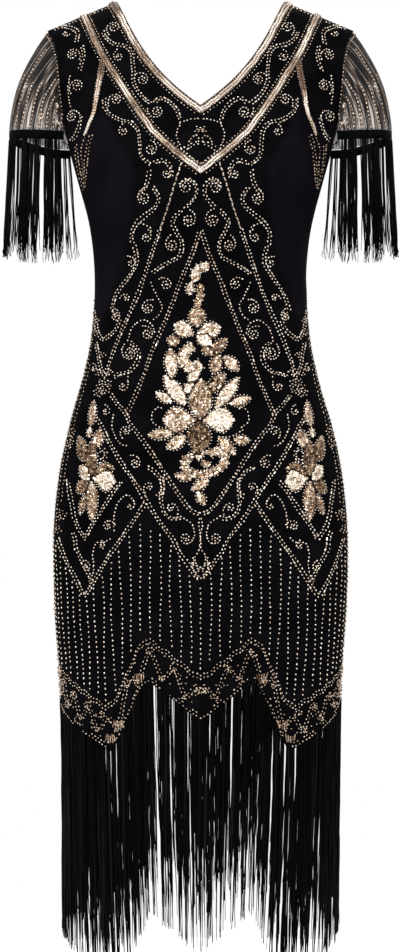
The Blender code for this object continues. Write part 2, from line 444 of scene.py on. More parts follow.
    def round_point(self, part: float, height: float, side: Side) -> Vector:
        """Point of the bare cloth a part of a quarter turn from the centre line."""
        return self.part_way(height, side, 0.0, self.ring_size(height, side)[0], part)

    def neck_x(self, height: float, side: Side, inset: float = 0.0) -> float:
        """Half width of the neckline at a height, or of a line set in from its edge.

        Args:
            height: The height.
            side: Front or back.
            inset: How far in the line is.

        Returns:
            The half width.
        """
        depth = self.neck_depth(side) + self.neck_mitre * inset
        down = min(-height / depth, 1.0)
        narrowing = self.neck_straight * down + (1 - self.neck_straight) * down ** self.neck_curve
        return (self.neck_half_width + inset) * (1 - narrowing)

    def hem_height(self, part: float, side: Side) -> float:
        """Height of the zigzag hem a part of a quarter turn from the centre line.

        Args:
            part: The part.
            side: Front or back.

        Returns:
            The height.
        """
        for start, end in zip(HEM[side], HEM[side][1:]):
            if part <= end.part:
                along = (part - start.part) / (end.part - start.part)
                return start.height + (end.height - start.height) * along
        return HEM[side][-1].height


# ----- Finishes -----


class Bench:
    """A node tree being wired up."""

    def __init__(self, tree: bpy.types.NodeTree) -> None:
        """Keep the tree."""
        self.tree = tree

    def add(self, kind: str, wires: dict | None = None, **settings: object) -> bpy.types.Node:
        """Add a node.

        Args:
            kind: The node's type name.
            wires: What goes into its sockets, by name or number: a socket or a plain value.
            **settings: Its own properties.

        Returns:
            The node.
        """
        node = self.tree.nodes.new(kind)
        for name, value in settings.items():
            setattr(node, name, value)
        for name, value in (wires or {}).items():
            if isinstance(value, bpy.types.NodeSocket):
                self.tree.links.new(value, node.inputs[name])
            else:
                node.inputs[name].default_value = value
        return node

    def bump(self, shader: bpy.types.Node, height: bpy.types.NodeSocket, strength: float,
             distance: float) -> None:
        """Give a shader a fine relief from a height."""
        node = self.add("ShaderNodeBump", {"Height": height, "Strength": strength, "Distance": distance})
        self.tree.links.new(node.outputs["Normal"], shader.inputs["Normal"])

    def maths(self, operation: str, *values: object) -> bpy.types.NodeSocket:
        """Work a sum on sockets and plain values."""
        return self.add("ShaderNodeMath", dict(enumerate(values)), operation=operation).outputs[0]

    def rescaled(self, value: bpy.types.NodeSocket, given: Spot, wanted: Spot) -> bpy.types.NodeSocket:
        """Rescale a value from one range to another and hold it there."""
        return self.add("ShaderNodeMapRange", {"Value": value, "From Min": given[0], "From Max": given[1],
                                               "To Min": wanted[0], "To Max": wanted[1]}).outputs[0]

    def ramp(self, factor: bpy.types.NodeSocket, *stops: tuple[float, Colour]) -> bpy.types.NodeSocket:
        """Add a colour ramp.

        Args:
            factor: What drives it.
            *stops: The place and colour of each stop.

        Returns:
            Its colour.
        """
        node = self.add("ShaderNodeValToRGB", {0: factor})
        elements = node.color_ramp.elements
        while len(elements) < len(stops):
            elements.new(0.5)
        for element, (position, colour) in zip(elements, stops):
            element.position = position
            element.color = (*colour, 1.0)
        return node.outputs["Color"]


def shader_group(name: str, inputs: dict[str, float],
                 outputs: dict[str, str]) -> tuple[Bench, bpy.types.Node, bpy.types.Node]:
    """Start a shader node group.

    Args:
        name: The group's name.
        inputs: Its float inputs and their values.
        outputs: Its outputs and their socket types.

    Returns:
        The bench, the group's input node and its output node.
    """
    tree = bpy.data.node_groups.new(name, "ShaderNodeTree")
    for label, value in inputs.items():
        socket = tree.interface.new_socket(label, in_out="INPUT", socket_type="NodeSocketFloat")
        socket.default_value = value
    for label, kind in outputs.items():
        tree.interface.new_socket(label, in_out="OUTPUT", socket_type=kind)
    bench = Bench(tree)
    return bench, bench.add("NodeGroupInput"), bench.add("NodeGroupOutput")


@lru_cache(maxsize=None)
def weave_group() -> bpy.types.NodeTree:
    """Fine crossing threads with uneven yarn, as a height and a slow change of tone."""
    bench, given, result = shader_group(
        "fine_weave", {"Threads": 1400.0, "Slub": 0.4},
        {"Height": "NodeSocketFloat", "Tone": "NodeSocketFloat"})
    where = bench.add("ShaderNodeTexCoord").outputs["Object"]
    heights = []
    for direction in ("X", "Z"):
        threads = {"Vector": where, "Scale": given.outputs["Threads"], "Distortion": 0.6}
        wave = bench.add("ShaderNodeTexWave", threads, bands_direction=direction)
        heights.append(wave.outputs["Fac"])
    cross = bench.maths("MULTIPLY", *heights)
    slub = bench.add("ShaderNodeTexNoise", {"Vector": where, "Scale": 260.0, "Detail": 2.0})
    total = bench.maths("ADD", cross, bench.maths("MULTIPLY", slub.outputs["Fac"], given.outputs["Slub"]))
    slow = bench.add("ShaderNodeTexNoise", {"Vector": where, "Scale": 28.0, "Detail": 3.0})
    bench.tree.links.new(total, result.inputs["Height"])
    bench.tree.links.new(slow.outputs["Fac"], result.inputs["Tone"])
    return bench.tree


@dataclass(frozen=True)
class Finish:
    """What every finish has: a name and the Principled shader's plain values."""

    name: str
    roughness: float = 0.6
    metallic: float = 0.0
    specular: float = 0.5

    def start(self) -> tuple[bpy.types.Material, Bench, bpy.types.Node]:
        """A new material with its plain values set, its bench and its shader."""
        made = bpy.data.materials.new(self.name)
        made.use_nodes = True
        shader = made.node_tree.nodes["Principled BSDF"]
        shader.inputs["Roughness"].default_value = self.roughness
        shader.inputs["Metallic"].default_value = self.metallic
        shader.inputs["Specular IOR Level"].default_value = self.specular
        return made, Bench(made.node_tree), shader


@dataclass(frozen=True)
class BeadedCloth(Finish):
    """Black net over satin, a touch more purple where it is plain at the side of the bust."""

    def make(self) -> bpy.types.Material:
        """Build the material."""
        made, bench, shader = self.start()
        weave = bench.add("ShaderNodeGroup", node_tree=weave_group())
        weave.inputs["Threads"].default_value = 900.0
        plain = bench.add("ShaderNodeAttribute", attribute_name="plain")
        net = bench.ramp(weave.outputs["Tone"],
                       (0.3, (0.0010, 0.0010, 0.0013)), (0.7, (0.0030, 0.0027, 0.0034)))
        satin = bench.ramp(weave.outputs["Tone"],
                         (0.3, (0.0034, 0.0026, 0.0042)), (0.7, (0.0056, 0.0044, 0.0064)))
        mix = {"Factor": plain.outputs["Fac"], "A": net, "B": satin}
        colour = bench.add("ShaderNodeMix", mix, data_type="RGBA")
        bench.tree.links.new(colour.outputs["Result"], shader.inputs["Base Color"])
        bench.bump(shader, weave.outputs["Height"], 0.35, 0.0003)
        return made


@dataclass(frozen=True)
class Stone(Finish):
    """Glass beads and sequins, each of its own tone."""

    dark: Colour = (0.13, 0.075, 0.045)
    middle: Colour = (0.56, 0.42, 0.31)
    light: Colour = (0.96, 0.88, 0.78)

    def make(self) -> bpy.types.Material:
        """Build the material."""
        made, bench, shader = self.start()
        tone = bench.add("ShaderNodeAttribute", attribute_name="tone")
        where = bench.add("ShaderNodeTexCoord").outputs["Object"]
        cloud = bench.add("ShaderNodeTexNoise", {"Vector": where, "Scale": 900.0, "Detail": 1.0})
        mixed = bench.maths("MULTIPLY_ADD", cloud.outputs["Fac"], 0.24, tone.outputs["Fac"])
        centred = bench.maths("SUBTRACT", mixed, 0.12)
        colour = bench.ramp(centred, (0.0, self.dark), (0.5, self.middle), (1.0, self.light))
        bench.tree.links.new(colour, shader.inputs["Base Color"])
        return made


@dataclass(frozen=True)
class BandBase(Finish):
    """The ribbon under the bands' beads, its weave darker in its low parts as painted shade."""

    colour: Colour = (0.16, 0.10, 0.06)

    def make(self) -> bpy.types.Material:
        """Build the material."""
        made, bench, shader = self.start()
        weave = bench.add("ShaderNodeGroup", node_tree=weave_group())
        # Painted shade: the weave's low parts are dimmed to 0.4 of the colour.
        hollow_shade = tuple(value * 0.4 for value in self.colour)
        colour = bench.ramp(weave.outputs["Height"], (0.2, hollow_shade), (0.9, self.colour))
        bench.tree.links.new(colour, shader.inputs["Base Color"])
        bench.bump(shader, weave.outputs["Height"], 0.6, 0.0004)
        return made


@dataclass(frozen=True)
class SleeveNet(Finish):
    """Sheer net: black and brown threads that run down the sleeve, with holes between, and pale streaks of
    painted highlight, more of them lower down.
    """

    def make(self) -> bpy.types.Material:
        """Build the material."""
        made, bench, shader = self.start()
        spread = bench.add("ShaderNodeUVMap", uv_map="cloth").outputs["UV"]
        threads = []
        for across, down in ((420.0, 14.0), (150.0, 9.0)):
            stretched = bench.add("ShaderNodeMapping", {"Vector": spread, "Scale": (across, down, 1.0)})
            grain = {"Vector": stretched.outputs[0], "Scale": 1.0, "Detail": 2.0}
            threads.append(bench.add("ShaderNodeTexNoise", grain).outputs["Fac"])
        mix = {"Factor": 0.45, "A": threads[0], "B": threads[1]}
        mask = bench.add("ShaderNodeMix", mix, data_type="FLOAT").outputs[0]
        down = bench.add("ShaderNodeSeparateXYZ", {0: spread}).outputs["Y"]
        # Painted highlight: lower down, the threads lean towards the pale stop, which is the highlight on the
        # net's streaks.
        highlight_lower_down = bench.rescaled(down, (0.0, 0.16), (-0.060, 0.005))
        colour = bench.ramp(bench.maths("ADD", mask, highlight_lower_down), (0.43, (0.002, 0.002, 0.002)),
                            (0.48, (0.034, 0.022, 0.016)), (0.53, (0.15, 0.112, 0.088)),
                            (0.585, (0.80, 0.74, 0.68)))
        bench.tree.links.new(colour, shader.inputs["Base Color"])
        low = bench.rescaled(down, (0.05, 0.16), (1.0, 0.70))
        holes = bench.rescaled(threads[0], (0.62, 0.40), (0.40, 1.0))
        bench.tree.links.new(bench.maths("MULTIPLY", low, holes), shader.inputs["Alpha"])
        bench.bump(shader, mask, 0.5, 0.0006)
        return made


@dataclass(frozen=True)
class Strand(Finish):
    """Black chainette: a soft shine broken by the chain's small links."""

    def make(self) -> bpy.types.Material:
        """Build the material."""
        made, bench, shader = self.start()
        where = bench.add("ShaderNodeTexCoord").outputs["Object"]
        chain = {"Vector": where, "Scale": 160.0, "Distortion": 3.0, "Detail": 1.0}
        links = bench.add("ShaderNodeTexWave", chain, bands_direction="Z")
        tone = bench.add("ShaderNodeAttribute", attribute_name="tone")
        colour = bench.ramp(tone.outputs["Fac"], (0.0, (0.0005, 0.0005, 0.0006)),
                            (0.8, (0.0022, 0.0022, 0.0026)), (1.0, (0.0090, 0.0090, 0.0100)))
        bench.tree.links.new(colour, shader.inputs["Base Color"])
        bench.bump(shader, links.outputs["Fac"], 0.5, 0.0004)
        return made


@dataclass(frozen=True)
class PlainPaper(Finish):
    """The pale floor."""

    def make(self) -> bpy.types.Material:
        """Build the material."""
        made, _, shader = self.start()
        shader.inputs["Base Color"].default_value = (0.86, 0.86, 0.86, 1.0)
        return made


@dataclass
class Finishes:
    """The dress's materials, built once."""

    cloth: bpy.types.Material = field(init=False)
    bead: bpy.types.Material = field(init=False)
    sequin: bpy.types.Material = field(init=False)
    band: bpy.types.Material = field(init=False)
    net: bpy.types.Material = field(init=False)
    tape: bpy.types.Material = field(init=False)
    strand: bpy.types.Material = field(init=False)

    def __post_init__(self) -> None:
        """Build each material."""
        self.cloth = BeadedCloth("beaded_cloth", roughness=0.72, specular=0.012).make()
        self.bead = Stone("champagne_bead", roughness=0.26, metallic=0.45, specular=0.6).make()
        self.sequin = Stone("gold_sequin", roughness=0.26, metallic=0.80, dark=(0.045, 0.026, 0.015),
                            middle=(0.36, 0.235, 0.145), light=(1.0, 0.88, 0.73)).make()
        self.band = BandBase("band_ribbon", roughness=0.6).make()
        self.net = SleeveNet("sleeve_net", roughness=0.6, specular=0.15).make()
        self.tape = BandBase("fringe_tape", roughness=0.8, colour=(0.0030, 0.0026, 0.0030),
                             specular=0.03).make()
        self.strand = Strand("fringe_strand", roughness=0.45, specular=0.03).make()


# ----- Meshes -----


def in_scene(name: str, data: bpy.types.ID) -> bpy.types.Object:
    """A new object in the scene."""
    thing = bpy.data.objects.new(name, data)
    bpy.context.scene.collection.objects.link(thing)
    return thing


def kept(shape: bmesh.types.BMesh, name: str, smooth: bool = True) -> bpy.types.Mesh:
    """The mesh of a shape, which is freed."""
    mesh = bpy.data.meshes.new(name)
    shape.to_mesh(mesh)
    shape.free()
    if smooth:
        mesh.shade_smooth()
    return mesh


def put_in_scene(name: str, mesh: bpy.types.Mesh, finish: bpy.types.Material) -> bpy.types.Object:
    """Make a piece of a mesh, dressed and riding on the dress.

    Args:
        name: The piece's name.
        mesh: Its mesh.
        finish: Its material.

    Returns:
        The piece.
    """
    mesh.materials.clear()
    mesh.materials.append(finish)
    piece = in_scene(name, mesh)
    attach(piece, BODY)
    log.info("%s: %d faces", name, len(mesh.polygons))
    return piece


def cloth_mesh(name: str, columns: int, rows: int, place: Callable[[int, int], Vector], flip: bool,
               marks: Callable[[int, int], float] | None = None,
               spread: Callable[[int, int], Spot] | None = None) -> bpy.types.Mesh:
    """An open sheet whose vertex at each column and row, counted upwards, is at place().

    Args:
        name: The mesh's name.
        columns: Faces across.
        rows: Faces up.
        place: Gives each vertex's point.
        flip: Whether the faces are turned over.
        marks: Gives each vertex's value of the "plain" attribute.
        spread: Gives each vertex's place in the "cloth" UV map.

    Returns:
        The mesh.
    """
    shape = bmesh.new()
    bmesh.ops.create_grid(shape, x_segments=columns, y_segments=rows, size=0.5)
    layer = shape.verts.layers.float.new("plain") if marks else None
    flat = shape.loops.layers.uv.new("cloth") if spread else None
    seats = {}
    for vertex in shape.verts:
        seats[vertex] = round((vertex.co.x + 0.5) * columns), round((vertex.co.y + 0.5) * rows)
    for vertex, seat in seats.items():
        vertex.co = place(*seat)
        if layer:
            vertex[layer] = marks(*seat)
    if flat:
        for face in shape.faces:
            for corner in face.loops:
                corner[flat].uv = spread(*seats[corner.vert])
    if flip:
        bmesh.ops.reverse_faces(shape, faces=shape.faces)
    return kept(shape, name)


def joined(name: str, meshes: Sequence[bpy.types.Mesh], merge: float) -> bpy.types.Mesh:
    """Several meshes as one, with their touching edges merged.

    Args:
        name: The new mesh's name.
        meshes: The meshes, which are removed.
        merge: How near two points are to become one.

    Returns:
        The mesh.
    """
    shape = bmesh.new()
    for mesh in meshes:
        shape.from_mesh(mesh)
        bpy.data.meshes.remove(mesh)
    bmesh.ops.remove_doubles(shape, verts=shape.verts, dist=merge)
    return kept(shape, name)


def thicken(piece: bpy.types.Object, wall: float, outwards: bool = True) -> None:
    """Give an open sheet its wall.

    Args:
        piece: The sheet.
        wall: How thick it is.
        outwards: Whether the wall grows out from the sheet.
    """
    solidify = piece.modifiers.new("wall", "SOLIDIFY")
    solidify.thickness = wall
    solidify.offset = 1.0 if outwards else -1.0


class Bit(NamedTuple):
    """One bead, bugle or sequin: where it sits, which way it points and how big and pale it is."""

    place: Vector
    along: Vector
    out: Vector
    size: Size
    tone: float


class BitKind(Enum):
    """The small shapes that are sewn on, each one unit across."""

    SEED = "seed_beads"
    BUGLE = "bugle_beads"
    SEQUIN = "sequins"

    def mesh(self) -> bpy.types.Mesh:
        """The shape, lying along X with its face up +Z."""
        shape = bmesh.new()
        if self is BitKind.SEED:
            bmesh.ops.create_icosphere(shape, subdivisions=1, radius=0.5)
        elif self is BitKind.BUGLE:
            bmesh.ops.create_cone(shape, cap_ends=True, segments=6, radius1=0.5, radius2=0.5, depth=1.0,
                                  matrix=Matrix.Rotation(math.pi / 2, 4, "Y"))
        else:
            bmesh.ops.create_cone(shape, cap_ends=True, segments=7, radius1=0.5, radius2=0.24, depth=0.16)
        return kept(shape, self.value, smooth=self is BitKind.SEED)


@lru_cache(maxsize=None)
def sewing_tree() -> bpy.types.NodeTree:
    """A node tree that puts a shape on each vertex, turned and sized by the vertex's attributes."""
    tree = bpy.data.node_groups.new("sew_on", "GeometryNodeTree")
    tree.interface.new_socket("Geometry", in_out="INPUT", socket_type="NodeSocketGeometry")
    tree.interface.new_socket("Shape", in_out="INPUT", socket_type="NodeSocketObject")
    tree.interface.new_socket("Geometry", in_out="OUTPUT", socket_type="NodeSocketGeometry")
    bench = Bench(tree)
    given = bench.add("NodeGroupInput")
    shape = bench.add("GeometryNodeObjectInfo", {"Object": given.outputs["Shape"]})
    turn = bench.add("GeometryNodeInputNamedAttribute", {"Name": "turn"}, data_type="FLOAT_VECTOR")
    size = bench.add("GeometryNodeInputNamedAttribute", {"Name": "size"}, data_type="FLOAT_VECTOR")
    rotation = bench.add("FunctionNodeEulerToRotation", {0: turn.outputs["Attribute"]})
    placed = bench.add("GeometryNodeInstanceOnPoints", {
        "Points": given.outputs["Geometry"], "Instance": shape.outputs["Geometry"],
        "Rotation": rotation.outputs[0], "Scale": size.outputs["Attribute"]})
    real = bench.add("GeometryNodeRealizeInstances", {0: placed.outputs[0]})
    bench.add("NodeGroupOutput", {"Geometry": real.outputs[0]})
    return tree


def applied(holder: bpy.types.Object, name: str) -> bpy.types.Mesh:
    """The mesh of an object with its modifiers applied. The object is removed."""
    bpy.context.view_layer.update()
    evaluated = holder.evaluated_get(bpy.context.evaluated_depsgraph_get())
    mesh = bpy.data.meshes.new_from_object(evaluated)
    mesh.name = name
    bpy.data.objects.remove(holder, do_unlink=True)
    return mesh


def sewn_mesh(name: str, kind: BitKind, bits: Sequence[Bit]) -> bpy.types.Mesh:
    """One mesh of many small shapes.

    Args:
        name: The mesh's name.
        kind: Which shape.
        bits: Where each one goes.

    Returns:
        The mesh, with each shape's tone as an attribute.
    """
    cloud = bmesh.new()
    turn = cloud.verts.layers.float_vector.new("turn")
    size = cloud.verts.layers.float_vector.new("size")
    tone = cloud.verts.layers.float.new("tone")
    for bit in bits:
        vertex = cloud.verts.new(bit.place)
        side = bit.out.cross(bit.along).normalized()
        ahead = side.cross(bit.out)
        vertex[turn] = Vector(Matrix((ahead, side, bit.out)).transposed().to_euler())
        vertex[size] = Vector(bit.size)
        vertex[tone] = bit.tone
    holder = in_scene(name, kept(cloud, name, smooth=False))
    shape = in_scene(kind.value, kind.mesh())
    modifier = holder.modifiers.new("sew_on", "NODES")
    modifier.node_group = sewing_tree()
    socket = next(item for item in sewing_tree().interface.items_tree if item.name == "Shape")
    modifier[socket.identifier] = shape
    mesh = applied(holder, name)
    bpy.data.objects.remove(shape, do_unlink=True)
    for attribute in ("turn", "size"):
        if attribute in mesh.attributes:
            mesh.attributes.remove(mesh.attributes[attribute])
    return mesh


def strand_mesh(name: str, strands: Sequence[Sequence[Vector]], radius: float, tones: Sequence[float],
                tip: float = 0.55) -> bpy.types.Mesh:
    """Many thin strands as one mesh.

    Args:
        name: The mesh's name.
        strands: The points of each strand.
        radius: Half a strand's thickness.
        tones: How pale each strand is.
        tip: The thickness at a strand's end, as a part of the full one.

    Returns:
        The mesh, with each strand's tone as an attribute.
    """
    curve = bpy.data.curves.new(name, "CURVE")
    curve.dimensions = "3D"
    curve.bevel_depth = radius
    curve.bevel_resolution = 0
    curve.use_fill_caps = True
    for points in strands:
        spline = curve.splines.new("POLY")
        spline.points.add(len(points) - 1)
        for index, (control, point) in enumerate(zip(spline.points, points)):
            control.co = (*point, 1.0)
            control.radius = 1.0 if index < len(points) - 2 else tip
    mesh = applied(in_scene(name, curve), name)
    bpy.data.curves.remove(curve)
    each = len(mesh.vertices) // len(strands)
    tone = mesh.attributes.new("tone", "FLOAT", "POINT")
    tone.data.foreach_set("value", [value for value in tones for _ in range(each)])
    return joined(name, [mesh], merge=0.000001)


# ----- Panels -----


@dataclass
class Panel:
    """The front or the back of the dress: black cloth from the neckline to the zigzag hem."""

    form: DressForm
    side: Side
    wall: float = 0.0010
    hem_zone: float = -0.700
    hem_rows: int = 20
    row_step: float = 0.0065
    shoulder_rows: int = 40

    def heights(self) -> list[float]:
        """Heights of the rows above the hem zone, from the lowest up to the shoulder."""
        count = round((self.form.underarm - self.hem_zone) / self.row_step)
        step = (self.form.underarm - self.hem_zone) / count
        lower = [self.hem_zone + step * i for i in range(count)]
        steps = self.shoulder_rows
        upper = [self.form.underarm * (1 - i / steps) ** 1.5 for i in range(steps + 1)]
        neck = -self.form.neck_depth(self.side)
        nearest = min(range(len(upper)), key=lambda i: abs(upper[i] - neck))
        upper[nearest] = neck
        return lower + upper

    def parts(self) -> list[float]:
        """Where the columns of a half stand, with one at each corner of the hem."""
        parts = []
        for corner, following in zip(HEM[self.side], HEM[self.side][1:]):
            width = following.part - corner.part
            parts += [corner.part + width * i / corner.columns for i in range(corner.columns)]
        return parts + [1.0]

    def height_at(self, part: float, row: int, heights: Sequence[float]) -> float:
        """Height of a column's vertex in a row."""
        if row >= self.hem_rows:
            return heights[row - self.hem_rows]
        hem = self.form.hem_height(part, self.side)
        return hem + (self.hem_zone - hem) * row / self.hem_rows

    def half(self, hand: Hand) -> bpy.types.Mesh:
        """One half of the panel.

        Args:
            hand: Which half.

        Returns:
            The open sheet.
        """
        parts, heights = self.parts(), self.heights()
        form, side = self.form, self.side

        def spot(column: int, row: int) -> tuple[Vector, float]:
            """A vertex's point on the bare cloth of the left half, and its height."""
            height = self.height_at(parts[column], row, heights)
            start_x = form.neck_x(height, side)
            end_x = read(ARMHOLE, height, 1) if height > form.underarm else form.ring_size(height, side)[0]
            return form.part_way(height, side, start_x, end_x, parts[column]), height

        def place(column: int, row: int) -> Vector:
            """A vertex's point on the creased cloth, with the seams kept straight."""
            point, height = spot(column, row)
            point.x *= hand.value
            out = form.outward(point.x, height, side)
            stand = form.crease(point.x, height, side) + form.cloth - self.wall
            shift = out * stand
            if column == 0:
                shift.x = 0.0
            if column == len(parts) - 1 and height <= form.underarm:
                shift = Vector((hand.value * (form.cloth - self.wall), -point.y, 0.0))
            return point + shift

        def plain(column: int, row: int) -> float:
            """How plain the cloth is at a vertex."""
            point, height = spot(column, row)
            return plain_side(abs(point.x), height)

        flip = (side is Side.BACK) != (hand is Hand.RIGHT)
        return cloth_mesh("half", len(parts) - 1, self.hem_rows + len(heights) - 1, place, flip, marks=plain)

    def build(self, finishes: Finishes) -> bpy.types.Object:
        """Make the panel.

        Args:
            finishes: The materials.

        Returns:
            The piece.
        """
        mesh = joined(f"{self.side.word}_cloth", [self.half(Hand.LEFT), self.half(Hand.RIGHT)], merge=0.00005)
        piece = put_in_scene(f"{self.side.word}_cloth", mesh, finishes.cloth)
        thicken(piece, self.wall)
        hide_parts(f"{self.side.word}_panel")
        return piece


def plain_side(x: float, z: float) -> float:
    """1 in the plain, unbeaded cloth at the side of the bust and 0 elsewhere, with soft edges.

    Args:
        x: Distance from the centre line.
        z: Height.

    Returns:
        How plain the cloth is.
    """
    inner = read(PLAIN_EDGE, z, 1)
    across = clamped((x - inner) / 0.006)
    ends = clamped((z + 0.375) / 0.02) * clamped((-0.130 - z) / 0.02)
    return across * ends


class PlainRow(NamedTuple):
    """How far out the beadwork reaches at a height beside the bust."""

    height: float
    x: float


PLAIN_EDGE = (
    PlainRow(-0.130, 0.104),
    PlainRow(-0.160, 0.092),
    PlainRow(-0.200, 0.072),
    PlainRow(-0.240, 0.072),
    PlainRow(-0.290, 0.080),
    PlainRow(-0.330, 0.093),
    PlainRow(-0.380, 0.110),
)


# ----- Beadwork -----


class Row(Enum):
    """How a line of beads is sewn."""

    SINGLE = 1
    DOUBLE = 2
    BUGLE = 3


class Line(NamedTuple):
    """A line of beads in the pattern, in millimetres, and how pale they are."""

    row: Row
    spots: tuple[Spot, ...]
    tone: float = 0.8


class Scroll(NamedTuple):
    """A coiled curl of beads: its centre and radius in millimetres and where its tail leaves."""

    x: float
    z: float
    radius: float
    tail: float
    way: int = 1


class Cluster(NamedTuple):
    """Beads sewn close together: the centre and radius in millimetres, and how pale they are."""

    x: float
    z: float
    radius: float
    tone: float = 0.7


class Petal(NamedTuple):
    """A leaf of sequins from its base to its tip, in millimetres.

    Its tone says how pale it is and its bulge how far along it is widest.
    """

    base: Spot
    tip: Spot
    width: float
    tone: float = 0.75
    bulge: float = 0.48

    def length(self) -> float:
        """From base to tip."""
        return math.dist(self.base, self.tip)

    def ahead(self) -> Spot:
        """Direction from base to tip."""
        length = self.length()
        return (self.tip[0] - self.base[0]) / length, (self.tip[1] - self.base[1]) / length

    def half_width(self, along: float) -> float:
        """Half its width a part of the way to the tip."""
        if not 0.0 < along < 1.0:
            return 0.0
        return self.width / 2 * math.sin(math.pi * along ** (math.log(0.5) / math.log(self.bulge))) ** 0.75

    def at(self, along: float, across: float) -> Spot:
        """Place a part of the way to the tip and some millimetres to one side."""
        length, ahead = self.length(), self.ahead()
        return (self.base[0] + ahead[0] * length * along - ahead[1] * across,
                self.base[1] + ahead[1] * length * along + ahead[0] * across)

    def covers(self, spot: Spot, margin: float) -> bool:
        """Whether a place lies on the leaf or within a margin of it."""
        length, ahead = self.length(), self.ahead()
        off = spot[0] - self.base[0], spot[1] - self.base[1]
        along = (off[0] * ahead[0] + off[1] * ahead[1]) / length
        across = abs(off[1] * ahead[0] - off[0] * ahead[1])
        slack = margin / length
        if not -slack < along < 1 + slack:
            return False
        return across < self.half_width(clamped(along, 0.02, 0.98)) + margin


class Garland(NamedTuple):
    """A band of sequins along a curve, in millimetres."""

    spots: tuple[Spot, ...]
    width: float
    tone: float = 0.75


